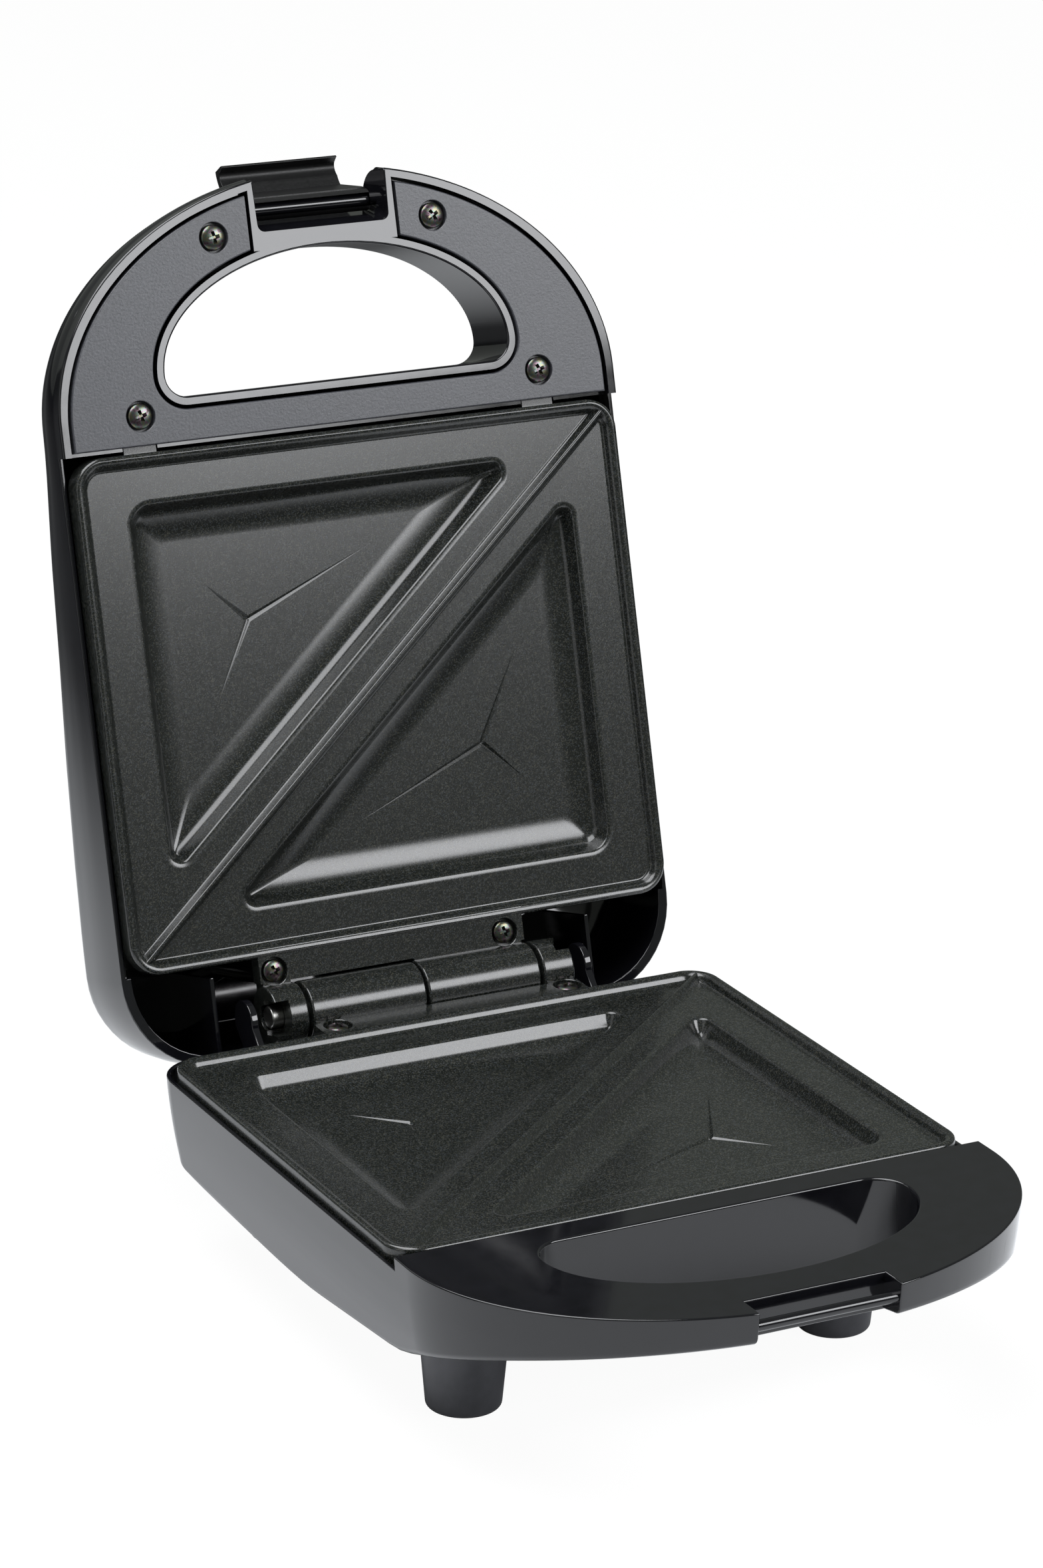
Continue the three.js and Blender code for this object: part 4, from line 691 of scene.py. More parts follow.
def starLeg(centre, tip):
    # a groove pressed in the pocket's floor, widest and deepest at the star's middle
    away = (tip - centre).normalized()
    stretch = 1 + star["lift"] / star["depth"]
    across = Vector((-away.y, away.x)) * stretch * star["width"] / 2
    start = centre - away * star["width"] / 4
    end = start + (tip - start) * stretch
    proud = pocketBottom + star["lift"]
    return hull([(*(start + across), proud), (*(start - across), proud), (*end, proud),
                 (*start, pocketBottom - star["depth"])])


def diagonalRib():
    low = field - plate["floor"] / 2
    high = plate["top"] - rib["drop"]
    foot, crest = rib["foot"] / 2, rib["crest"] / 2
    lean = math.degrees(math.atan2(high - field, foot - crest))
    footRun = foot + rib["footRound"] * math.tan(math.radians(lean / 2))
    side = [(footRun, low)]
    side += [(footRun + run, field + rib["footRound"] + rise)
             for run, rise in arc(rib["footRound"], 270, 270 - lean, 4)]
    top = rib["crestRound"]
    side += [(crest - top + run, high - top + rise) for run, rise in arc(top, 90 - lean, 90, 4)]
    outline = side + [(-x, z) for x, z in reversed(side)]
    made = sideProfile(outline, (-2 * plate["half"], 2 * plate["half"]))
    turn = Matrix.Rotation(math.atan2(diagonal.y, diagonal.x), 4, "Z")
    made.data.transform(Matrix.Translation((*plateCentre, 0)) @ turn)
    keep = loft([plateRing(plate["rimWidth"] / 2, z) for z in (plateUnder, plate["top"])])
    return common(made, keep)


def screwSink(place, wide, face, seatAt, depth, turn=1):
    # a counterbore with a small chamfer, and the hole through its floor
    chamfer = screwHoles["chamfer"]
    rise = turn * (face - seatAt)
    profile = [(0, -depth), (screwHole, -depth), (screwHole, 0), (wide, 0), (wide, rise - chamfer),
               (wide + chamfer, rise), (wide + chamfer, overrun), (0, overrun)]
    flip = Matrix.Rotation(0 if turn > 0 else math.pi, 4, "Y")
    return spun(profile, Matrix.Translation((*place, seatAt)) @ flip, 48)


def plateCasting():
    bulge = loft(pocketRings(plate["floor"], plate["floor"]))
    rings = pocketRings(0, 0)
    rings.append([(x, y, overrun) for x, y, z in rings[-1]])
    hollow = loft(rings)
    k = knuckles
    solid = join(
        plateBlank(), diagonalRib(), halfTurn(bulge), bulge,
        block((-k["outer"] - gap, k["endOuter"]), (-plate["rimWidth"], k["flangeStop"]),
              (flangeUnder, flangeTop)),
        block((-k["outer"] + k["edge"], -k["inner"] - k["edge"]), (0, hingeBack), (flangeUnder, flangeTop)),
        block((k["endInner"] + k["edge"], k["endOuter"] - k["edge"]), (0, hingeBack),
              (flangeUnder, flangeTop)),
        rod(k["radius"], "X", (-k["outer"], -k["inner"]), (hingeBack, 0), k["edge"], 96),
        rod(k["radius"], "X", (k["endInner"], k["endOuter"]), (hingeBack, 0), k["edge"], 96),
    )
    for place in onBothSides(plate["tabPlace"]):
        half = plate["tabWidth"] / 2
        under = -plate["tabDrop"] - plate["tabThickness"]
        front = -plate["depth"] - plate["tabLength"]
        join(solid, block((place - half, place + half), (front, -plate["depth"] + plate["rimWidth"]),
                          (under, -plate["tabDrop"])))
    tools = [hollow, halfTurn(hollow)]
    places = [Vector((-plate["half"] + 2 * plate["half"] * across, -plate["depth"] * along))
              for across, along in (star["centreShares"], *star["tipShares"])]
    for tip in places[1:]:
        leg = starLeg(places[0], tip)
        tools += [leg, halfTurn(leg)]
    tools += [
        rod(k["pin"] + gap, "X", (-k["outer"] - overrun, -k["pinInner"] + gap), (hingeBack, 0)),
        rod(k["pin"] + gap, "X", (k["endInner"] - overrun / 10, k["endOuter"] + overrun), (hingeBack, 0)),
        block((k["endOuter"] - k["windowLength"], k["endOuter"] + overrun),
              (hingeBack - k["windowHalf"], hingeBack + k["windowHalf"]), (0, k["radius"] + overrun)),
    ]
    for place in screwPlaces:
        spot = (place, k["screwBack"])
        room = screwHoles["flangeHead"] + screwHoles["flangeRoom"]
        tools.append(screwSink(spot, room, flangeTop, headSeat, k["flangeThickness"] + overrun))
    return cut(solid, *tools)


def sandSides(item):
    # the casting's outer wall takes the second material
    for face in item.data.polygons:
        level = abs(face.normal.z) < 0.5 and abs(face.center.z) > abs(plate["top"]) + plate["rimRound"]
        side = abs(face.center.x) > plate["half"] - plate["corner"] and abs(face.normal.x) > 0.2
        front = face.center.y < -plate["depth"] + plate["corner"] and face.normal.y < -0.2
        outward = face.center.x * face.normal.x >= 0
        past = max(abs(face.center.x) - plate["half"], -face.center.y - plate["depth"])
        outer = outward and past > -plate["rimWidth"]
        face.material_index = 1 if level and outer and (side or front) else 0


casting = plateCasting()
upperCasting = copied(casting, turnOver)
for item in (casting, upperCasting):
    sandSides(item)
coat = finishes["coated_casting"]
dress(casting, "lowerPlate", basePlacing, "base", ["lower_plate"], "coated_casting", [coat, sandedLower])
dress(upperCasting, "upperPlate", lidPlacing, "lid", ["upper_plate"], "coated_casting", [coat, sandedUpper])
print("plates made:", len(casting.data.polygons), "faces each")

# The base: a belly that rises towards the handle, tapered walls and a handle hollow from below
base = {"rear": 5.4, "corner": 10, "belly": 26, "taper": 3.7, "edge": 1.6, "rimDrop": 2.8, "rise": 0.15,
        "handleFront": 108.7, "notchHalf": 15, "notchFloor": 154.2, "barBack": 158.4, "barDrop": 3.2,
        "barRadius": 1.1, "lugInner": 38.2, "lugThickness": 1.6, "lugRadius": 4.5, "stopPlace": 30,
        "stopThickness": 3, "stopReach": 17, "ground": 41.3, "round": 0.35,
        "bellyShares": ((0, 0.86), (0.08, 0.923), (0.224, 0.973), (0.386, 1), (0.487, 0.95), (0.589, 0.885),
                        (0.661, 0.827), (0.713, 0.715), (0.805, 0.535), (0.871, 0.419), (0.9425, 0.319),
                        (1, 0.25)),
        "taperShares": ((0, 0), (0.3, 0.18), (0.6, 0.47), (1, 1)), "ribRound": 0.25}
lid = {"rear": 21, "corner": 20, "rimRise": 3.8, "rise": 1.25, "handleFront": 107.6, "height": 29.4,
       "shoulder": 7, "crown": 2.4, "crownInset": 33.65, "bulge": 0.38, "notchHalf": 15.1, "notchEnd": 16.5,
       "notchFloor": 149.3, "rampStart": 2, "rampEnd": 12, "rampRise": 3.3, "notchRound": 1.6,
       "rodBack": 154.1, "rodRise": 7.8, "rodRadius": 1.3, "ribPlace": 44,
       "ribThickness": 1, "ribFront": 2.8, "edge": 0.5, "round": 0.3,
       "crownShares": ((0, 0.99), (0.132, 1), (0.208, 0.976), (0.257, 0.952), (0.361, 0.884), (0.476, 0.782),
                       (0.586, 0.701), (0.706, 0.58), (0.8, 0.555), (0.93, 0.535), (1, 0.46))}
moon = {"half": 39.5, "reach": 23.5, "start": 122, "corner": 7, "wall": 1.75, "steps": 80, "cornerSteps": 14,
        "baseBack": 115, "lidBack": 117.4, "baseLip": 0.5, "lidLip": 0.45}
lidMoon = dict(moon, corner=moon["start"] - moon["lidBack"])
inner = {"postPlace": 40, "postRear": 25, "postFront": 85, "postRadius": 3, "boss": 3, "reflector": 13.3,
         "sheet": 0.8, "padHalf": 12, "padNear": 8, "padFar": 20, "padDrop": 19.6, "glandDrop": 12.6,
         "glandHole": 5, "stud": 2.8}


def bellyAt(y):
    return base["belly"] * shareAt(base["bellyShares"], (base["rear"] - y) / (base["rear"] + handleEnd))


def crownAt(y):
    return lid["height"] * shareAt(lid["crownShares"], (lid["rear"] - y) / (lid["rear"] + handleEnd))


def taperAt(drop):
    return base["taper"] * shareAt(base["taperShares"], drop / base["belly"])


def baseForm(inset, floorRise, top, topRound=0):
    edge = base["edge"]

    def ring(levelAt, spine=False):
        return planRing(levelAt, base["rear"], base["corner"], spine)

    def edgeLevel(turn):
        def level(y):
            drop = bellyAt(y) - floorRise - edge * (1 - math.cos(turn))
            return -drop, inset + taperAt(drop) + edge * (1 - math.sin(turn))
        return level

    def wallLevel(share):
        def level(y):
            drop = (bellyAt(y) - floorRise - edge) * share
            return -drop, inset + taperAt(drop)
        return level

    rings = [ring(edgeLevel(quarter * step / 6)) for step in range(7)]
    rings += [ring(wallLevel(1 - step / 12)) for step in range(1, 12)]
    if topRound:
        rings += [ring(lambda y, run=run, rise=rise: (top - topRound + rise, inset + topRound + run))
                  for run, rise in arc(topRound, 180, 90, 4)]
    else:
        rings.append(ring(lambda y: (top, inset)))
    rings.reverse()
    rings.append(ring(edgeLevel(0), spine=True))
    return loft(rings, closeLast=False)


def lidForm(inset, bottom, topDrop, bottomRound=0):
    shoulder = lid["shoulder"] - inset

    def ring(levelAt, spine=False):
        return planRing(levelAt, lid["rear"], lid["corner"], spine)

    def rise(y):
        return crownAt(y) - topDrop

    def sideLevel(share):
        return lambda y: (lid["rimRise"] + (rise(y) - shoulder - lid["rimRise"]) * share,
                          inset - lid["bulge"] * math.sin(math.pi * share))

    def turnLevel(turn):
        return lambda y: (rise(y) - shoulder * (1 - math.sin(turn)), inset + shoulder * (1 - math.cos(turn)))

    def topLevel(share):
        # inwards the rear comes level with the top's sides, so that no crease is left where they meet
        lift = lid["crown"] * 0.9 * math.sin(quarter * share)
        levelFrom = lid["rear"] - lid["corner"]
        return lambda y: (rise(y) + (rise(min(y, levelFrom)) - rise(y)) * share + lift,
                          inset + shoulder + (lid["crownInset"] - lid["shoulder"]) * share)

    rings = []
    for run, up in arc(bottomRound, 270, 180, 4) if bottomRound else [(0, 0)]:
        rings.append(ring(lambda y: (bottom + bottomRound + up, inset + bottomRound + run)))
    rings += [ring(sideLevel(step / 10)) for step in range(11)]
    rings += [ring(turnLevel(quarter * step / 10)) for step in range(1, 11)]
    rings += [ring(topLevel(step / 12)) for step in range(1, 13)]
    rings.append(ring(topLevel(1), spine=True))
    return loft(rings, closeLast=False)


def supportPosts(zRange):
    return [upright(inner["postRadius"], zRange, (x, -y))
            for x in onBothSides(inner["postPlace"]) for y in (inner["postRear"], inner["postFront"])]


def hingeLug(side):
    # a lug beside each hinge knuckle keeps its pin from walking out
    profile = [(hingeBack + y, z) for y, z in arc(base["lugRadius"], -45, 180, 30)]
    profile += [(base["rear"] - plan["wall"], -base["rimDrop"] - plan["wall"]),
                (base["rear"] - plan["wall"], -2 * knuckles["radius"])]
    ends = sorted((side * base["lugInner"], side * (base["lugInner"] + base["lugThickness"])))
    return sideProfile(profile, ends)


def stopRib(place):
    # a rib behind the base that the open lid's back wall comes to rest on
    turn = math.radians(hinge["openAngle"])
    wall = lid["rear"] + lid["bulge"] + gap - hingeBack

    def top(y):
        rise = (y - hingeBack - wall * math.cos(turn)) / math.sin(turn)
        return -wall * math.sin(turn) + rise * math.cos(turn)

    root = base["rear"] - base["taper"]
    near = hingeBack + lid["bulge"]
    reach = base["stopReach"]
    radius = knuckles["radius"]
    profile = [(root, -2 * radius - plan["wall"]), (reach, top(reach) - plan["wall"]), (reach, top(reach)),
               (near, top(near)), (root, -radius - plan["wall"])]
    half = base["stopThickness"] / 2
    return sideProfile(profile, (place - half, place + half))


def tabSlots(xRoom, yRange, zRange):
    # the slots that the plate's two front tabs reach into
    return [block((x - xRoom, x + xRoom), yRange, zRange) for x in onBothSides(plate["tabPlace"])]


def inNotch(a, b, piece):
    # whether an edge lies in the latch notch of a shell, and whether it is on one of the notch's sides
    wide = onBothSides(piece["notchHalf"])
    inside = max(a.y, b.y) < -piece["notchFloor"] + hair and max(abs(a.x), abs(b.x)) < wide[1] + hair
    return inside, min(abs(a.x), abs(b.x)) > wide[1] - hair


def baseShell():
    deep = -base["ground"] - overrun
    far = overrun + base["rear"]
    front = -base["handleFront"]
    handleInner = front - plan["wall"]
    coreTop = base["rise"] - plan["wall"]
    lowest = deep - base["belly"]
    across = onBothSides(farSide)
    shell = baseForm(0, 0, base["rise"], base["round"])
    nest = common(baseForm(plan["rimWall"], 0, overrun),
                  block(across, (front, far), (-plan["nest"], 2 * overrun)))
    chamber = common(baseForm(plan["wall"], plan["wall"], overrun),
                     block(across, (front, far), (deep, 2 * overrun)))
    rimCut = block(across, (front, far), (-base["rimDrop"], 2 * overrun))
    core = common(baseForm(plan["wall"], -2 * base["belly"], coreTop),
                  block(across, (-farFront, handleInner), (lowest, coreTop)))
    cut(core, prism(moonOutline(moon, moon["wall"], moon["baseBack"]), (lowest, overrun)),
        block(onBothSides(base["notchHalf"] + plan["wall"]), (-farFront, -base["notchFloor"] + plan["wall"]),
              (lowest, overrun)),
        *tabSlots(base["lugThickness"] / 2, (-farFront, handleInner), (lowest, overrun)))
    cut(shell, nest, chamber, core, rimCut)

    def rimEdge(a, b):
        return max(abs(a.z + base["rimDrop"]), abs(b.z + base["rimDrop"])) < hair

    roundEdges(shell, base["round"], rimEdge)
    postTop = -inner["reflector"] - gap
    fittings = join(
        block(onBothSides(inner["padHalf"]), (-inner["padFar"], -inner["padNear"]),
              (-base["belly"], -inner["padDrop"])),
        *supportPosts((-base["belly"], postTop)),
        *[upright(inner["boss"], (flangeUnder - screwHoles["flangeLength"], flangeUnder - gap),
                  (x, knuckles["screwBack"])) for x in screwPlaces])
    join(shell, common(fittings, baseForm(plan["wall"] / 2, plan["wall"] / 2, overrun)))
    cut(shell, moonCutter(moon, moon["baseBack"], (base["rise"], 1), moon["baseLip"], (deep, overrun)),
        block(onBothSides(base["notchHalf"]), (-farFront, -base["notchFloor"]), (deep, overrun)),
        block(onBothSides(knuckles["endOuter"] + gap), (0, far), (flangeUnder - gap, 2 * overrun)),
        *tabSlots(plate["tabWidth"] / 2 + gap, (handleInner - overrun, front + overrun / 10),
                  (-plate["tabDrop"] - plate["tabThickness"] - gap, -plate["tabDrop"] + gap)))

    def notchEdge(a, b):
        inside, onSide = inNotch(a, b, base)
        return inside and (onSide or min(a.z, b.z) > base["rise"] - hair)

    roundEdges(shell, base["round"], notchEdge)
    join(shell, rod(base["barRadius"], "X", onBothSides(base["notchHalf"] + plan["wall"] / 2),
                    (-base["barBack"], -base["barDrop"])),
         *[roundEdges(hingeLug(side), base["ribRound"], everyEdge) for side in onBothSides(1)],
         *[roundEdges(stopRib(place), base["ribRound"], everyEdge)
           for place in onBothSides(base["stopPlace"])])
    holes = [upright(inner["stud"], (deep, postTop - gap), (x, -y)) for x, y in feetPlaces.values()]
    screwLow = flangeTop - screwHoles["flangeLength"] - screwHoles["headHeight"] - gap
    holes += [upright(screwHole, (screwLow, overrun), (x, knuckles["screwBack"])) for x in screwPlaces]
    smallLow = -inner["reflector"] + inner["sheet"] - screwHoles["smallLength"] - gap
    holes += [upright(screwHole, (smallLow, overrun), place) for place in
              ((-inner["postPlace"], -inner["postRear"]), (inner["postPlace"], -inner["postFront"]))]
    holes.append(rod(inner["glandHole"], "Y", (base["rear"] - base["taper"] - overrun, far),
                     (0, -inner["glandDrop"])))
    return cut(shell, *holes)


feet = {"front": (41.3, 93), "rear": (38, 4.5), "top": 9.3, "bottom": 7.5, "edge": 1, "blend": 20,
        "stud": 2.5, "studRise": 4.5}
feetPlaces = {f"{row}_{side}_foot": (way * feet[row][0], feet[row][1])
              for row in ("front", "rear") for side, way in (("left", -1), ("right", 1))}


def paintNotchShade(item):
    # the notch's back wall takes the second material, the latch's dull black, as painted shade where the wall lies
    # in shadow
    for face in item.data.polygons:
        x, y, z = face.center
        inside = abs(x) < base["notchHalf"] + hair and abs(y + base["notchFloor"]) < gap and z < -gap
        face.material_index = 1 if inside else 0
    return item


def pieceName(node):
    first, *rest = node.split("_")
    return first + "".join(word.capitalize() for word in rest)


# the base shell's notch wall is painted dark as shade with the latch's black
dress(paintNotchShade(baseShell()), "baseShell", basePlacing, "base", ["base_shell"], "gloss_shell",
      [finishes["gloss_shell"], latchBlackAndNotchShade])
print("base shell made")


def footBody(x, y):
    # a soft cone with a round rim, trimmed to the belly it is pushed into
    ground, edge = -base["ground"], feet["edge"]
    profile = [(0, ground)]
    profile += [(feet["bottom"] - edge + run, ground + edge + rise) for run, rise in arc(edge, 270, 355, 7)]
    profile += [(feet["top"], -feet["blend"]), (0, -feet["blend"])]
    made = cut(spun(profile, Matrix.Translation((x, -y, 0)), 72), baseForm(0, -gap, overrun))
    skin = -bellyAt(-y)
    return join(made, upright(feet["stud"], (skin - plan["wall"], skin + feet["studRise"]), (x, -y)))


for nodeName, (x, y) in feetPlaces.items():
    dress(footBody(x, y), pieceName(nodeName), basePlacing, "base", [nodeName], "satin_black")
print("feet made")

cover = {"thickness": 2.2, "half": 62.1, "reach": 47, "start": 112.8, "back": 108.3, "gap": 0.8,
         "round": 0.35,
         "screws": {"cover_screw_front_left": (-25.2, 149.2), "cover_screw_front_right": (25.2, 149.2),
                    "cover_screw_rear_left": (-46, 114.4), "cover_screw_rear_right": (46, 114.4)}}
lamps = {"place": 10, "back": 14, "radius": 3.2, "flange": 4.6, "flangeHeight": 1, "depth": 8, "proud": 0.6,
         "wall": 0.6, "dome": 0.7}
coverSeat = lid["rise"] + cover["thickness"] + gap
upperScrewPlaces = [-place for place in screwPlaces]


def coverRing(shrink, height, back):
    half, reach = cover["half"] - shrink, cover["reach"] - shrink
    points = [(half * x, reach * y - cover["start"]) for x, y in arc(1, 180, 360, 96)]
    points += [(half, -back - shrink), (-half, -back - shrink)]
    return [(x, y, height) for x, y in points]


def notchCutter(high):
    # open in front; behind the rod a ramp rises and closes the view through
    floor = -lid["notchFloor"]
    raised = floor - lid["rampRise"]
    outline = [(floor, -overrun), (floor, lid["rampStart"]), (raised, lid["rampEnd"]), (raised, high),
               (-farFront, high), (-farFront, -overrun)]

    def backEdge(a, b):
        return min(abs(a.x), abs(b.x)) > lid["notchHalf"] - hair and min(a.y, b.y) > raised - hair

    made = sideProfile(outline, onBothSides(lid["notchHalf"]))
    return roundEdges(made, lid["notchRound"], backEdge, 5, 30)


def lidShell():
    front = -lid["handleFront"]
    handleInner = front - plan["wall"]
    high = lid["height"] + lid["crown"] + overrun
    grip = -moon["start"] - moon["reach"]
    far = lid["rear"] + overrun
    across = onBothSides(farSide)
    shell = lidForm(0, lid["rise"], 0, lid["edge"])

    def moonPillar():
        return prism(moonOutline(lidMoon, moon["wall"], moon["lidBack"]), (-overrun, high + overrun))

    def notchPillar():
        return block(onBothSides(lid["notchEnd"]), (-farFront, grip), (-overrun, high + overrun))

    def inside():
        return lidForm(plan["wall"], -overrun, plan["wall"])

    chamber = common(inside(), block(across, (front, far), (-2 * overrun, high)))
    nest = common(lidForm(plan["rimWall"], -overrun, 0),
                  block(across, (front, 0), (-2 * overrun, plan["nest"])))
    rimCut = block(across, (front, far), (-overrun, lid["rimRise"]))
    hollow = common(inside(), block(across, (-farFront, handleInner), (-2 * overrun, high)))
    cut(hollow, moonPillar(), notchPillar(),
        *[upright(inner["boss"], (coverSeat, high + overrun), (x, -y)) for x, y in cover["screws"].values()])
    recess = loft([coverRing(0, height, lid["handleFront"] - overrun / 10)
                   for height in (-overrun, coverSeat)])
    cut(recess, moonPillar(), notchPillar())
    cut(shell, chamber, nest, hollow, rimCut, recess)

    def rimEdge(a, b):
        level = max(abs(a.z - lid["rimRise"]), abs(b.z - lid["rimRise"])) < hair
        return level and max(a.y, b.y) > front + hair

    roundEdges(shell, lid["round"], rimEdge)
    ribs = [block((x - lid["ribThickness"] / 2, x + lid["ribThickness"] / 2), (lid["ribFront"], lid["rear"]),
                  (lid["rimRise"] + gap, high)) for x in onBothSides(lid["ribPlace"])]
    fittings = join(*[roundEdges(item, base["ribRound"], everyEdge, 2) for item in ribs],
                    *supportPosts((inner["reflector"] + gap, high)),
                    *[upright(inner["boss"], (-flangeUnder + gap, high), (x, knuckles["screwBack"]))
                      for x in upperScrewPlaces])
    join(shell, common(fittings, lidForm(plan["wall"] / 2, 0, plan["wall"] / 2)))
    cut(shell, notchCutter(high),
        moonCutter(lidMoon, moon["lidBack"], (lid["rise"], -1), moon["lidLip"], (-overrun, high + overrun)),
        *tabSlots(plate["tabWidth"] / 2 + gap, (handleInner - overrun / 10, front + overrun / 10),
                  (coverSeat - gap, plate["tabDrop"] + plate["tabThickness"] + gap)))

    roundEdges(shell, lid["round"], lambda a, b: all(inNotch(a, b, lid)))
    join(shell, rod(lid["rodRadius"], "X", onBothSides((lid["notchHalf"] + lid["notchEnd"]) / 2),
                    (-lid["rodBack"], lid["rodRise"])))
    coverHigh = lid["rise"] + screwHoles["headHeight"] + screwHoles["coverLength"] + gap
    holes = [upright(screwHole, (-overrun, coverHigh), (x, -y)) for x, y in cover["screws"].values()]
    screwHigh = -flangeTop + screwHoles["flangeLength"] + screwHoles["headHeight"] + gap
    holes += [upright(screwHole, (-overrun, screwHigh), (x, knuckles["screwBack"]))
              for x in upperScrewPlaces]
    smallHigh = inner["reflector"] - inner["sheet"] + screwHoles["smallLength"] + gap
    holes += [upright(screwHole, (-overrun, smallHigh), place) for place in
              ((inner["postPlace"], -inner["postRear"]), (-inner["postPlace"], -inner["postFront"]))]
    lampLow = lid["height"] - 2 * lamps["depth"]
    holes += [rod(lamps["radius"] + gap, "Z", (lampLow, high), (x, -lamps["back"]))
              for x in onBothSides(lamps["place"])]
    return cut(shell, *holes)


dress(lidShell(), "lidShell", lidPlacing, "lid", ["lid_shell"], "gloss_shell")
print("lid shell made")


def coverBody():
    # a plate with a rounded face edge, cut for the opening and the notch, with sunk screws
    low, small = lid["rise"], cover["round"]
    rings = [coverRing(cover["gap"], low + cover["thickness"], cover["back"] - cover["gap"])]
    rings += [coverRing(cover["gap"] + small + run, low + small + rise, cover["back"] - cover["gap"])
              for run, rise in arc(small, 180, 270, 4)]
    made = loft(rings)
    around = moon["wall"] + cover["gap"]
    edged = dict(lidMoon, **{key: lidMoon[key] + around for key in ("half", "reach", "corner")})
    side = lid["notchEnd"] + cover["gap"]
    through = (-overrun, coverSeat + overrun)
    tools = [moonCutter(edged, moon["lidBack"] - around, (low, -1), small, through),
             block(onBothSides(side), (-farFront, -moon["start"] - moon["reach"]), through)]
    room = screwHoles["coverHead"] + screwHoles["coverRoom"]
    tools += [screwSink((x, -y), room, low, low + screwHoles["headHeight"], overrun, -1)
              for x, y in cover["screws"].values()]
    return cut(made, *tools)


dress(coverBody(), "handleCover", lidPlacing, "lid", ["lid_handle_cover"], "matte_cover")
print("handle cover made")

# Screws, pins and the small mouldings
screw = {"side": 0.7, "tip": 0.65, "edge": 0.12, "recessTop": (1.45, 0.42), "recessBottom": (0.7, 0.22),
         "recessOver": 0.1, "recessDepth": 0.95}


def screwBody(head, length, turn, placing):
    # a pan head with a domed top and a tapered cross recess, on a plain shank
    height, shank, edge = screwHoles["headHeight"], screwHoles["shank"], screw["edge"]
    profile = [(0, -length), (screw["tip"], -length), (shank, -length + shank), (shank, 0), (head - edge, 0),
               (head, edge)]
    profile += [(head * run, screw["side"] + (height - screw["side"]) * rise)
                for run, rise in arc(1, 0, 90, 10)]
    made = spun(profile, None, 48)
    levels = ((screw["recessTop"], height + screw["recessOver"]),
              (screw["recessBottom"], height - screw["recessDepth"]))
    corners = [(x, y, level) for (reach, half), level in levels
               for x in onBothSides(reach) for y in onBothSides(half)]
    for spin in (0, quarter):
        arm = hull(corners)
        arm.data.transform(Matrix.Rotation(spin, 4, "Z"))
        cut(made, arm)
    made.data.transform(placing @ Matrix.Rotation(math.radians(turn), 4, "Z"))
    return made


def makeScrews():
    # each pan head is turned a little differently, as a driver leaves it
    seatAt = headSeat + gap
    for node, x, turn in (("lower_plate_screw_left", screwPlaces[0], 14),
                          ("lower_plate_screw_right", screwPlaces[1], 38)):
        place = Matrix.Translation((x, knuckles["screwBack"], seatAt))
        dress(screwBody(screwHoles["flangeHead"], screwHoles["flangeLength"], turn, place), pieceName(node),
              basePlacing, "base", [node], "dark_screw")
    for node, x, turn in (("upper_plate_screw_right", upperScrewPlaces[0], 12),
                          ("upper_plate_screw_left", upperScrewPlaces[1], 20)):
        place = Matrix.Translation((x, knuckles["screwBack"], -seatAt)) @ turnOver
        dress(screwBody(screwHoles["flangeHead"], screwHoles["flangeLength"], turn, place), pieceName(node),
              lidPlacing, "lid", [node], "dark_screw")
    for turn, (node, (x, y)) in zip((10, 30, 16, 22), cover["screws"].items()):
        place = Matrix.Translation((x, -y, lid["rise"] + screwHoles["headHeight"] - gap)) @ turnOver
        dress(screwBody(screwHoles["coverHead"], screwHoles["coverLength"], turn, place), pieceName(node),
              lidPlacing, "lid", [node], "dark_screw")


makeScrews()
pinSpan = (knuckles["pinInner"], knuckles["pinOuter"])
for node, ends, placing, body in (("right_hinge_pin", pinSpan, basePlacing, "base"),
                                  ("left_hinge_pin", (-pinSpan[1], -pinSpan[0]), lidPlacing, "lid")):
    dress(rod(knuckles["pin"], "X", ends, (hingeBack, 0), knuckles["pinEdge"]), pieceName(node),
          placing, body, [node], "plain_steel")
print("screws and pins made")

# The latch, drawn round its rod: a wide hook with a C-shaped clip and a nib that stiffens it
latch = {"half": 13.4, "ring": 2.3, "root": 1.6, "round": 0.12, "arm": (2.9, 1.2), "armEnd": (4.1, 12),
         "face": (6.1, 13.1), "hollow": (7.7, 14.7), "lip": (8.9, 13.8), "tip": (9.9, 12.4),
         "barb": (9.3, 15.95), "spine": (5.3, 14.6), "under": (2, 10.5)}


def bent(start, control, end, steps=12):
    # a quadratic curve, without its first point
    points = []
    for step in range(1, steps + 1):
        t = step / steps
        points.append(tuple(a * (1 - t) ** 2 + 2 * b * t * (1 - t) + c * t * t
                            for a, b, c in zip(start, control, end)))
    return points


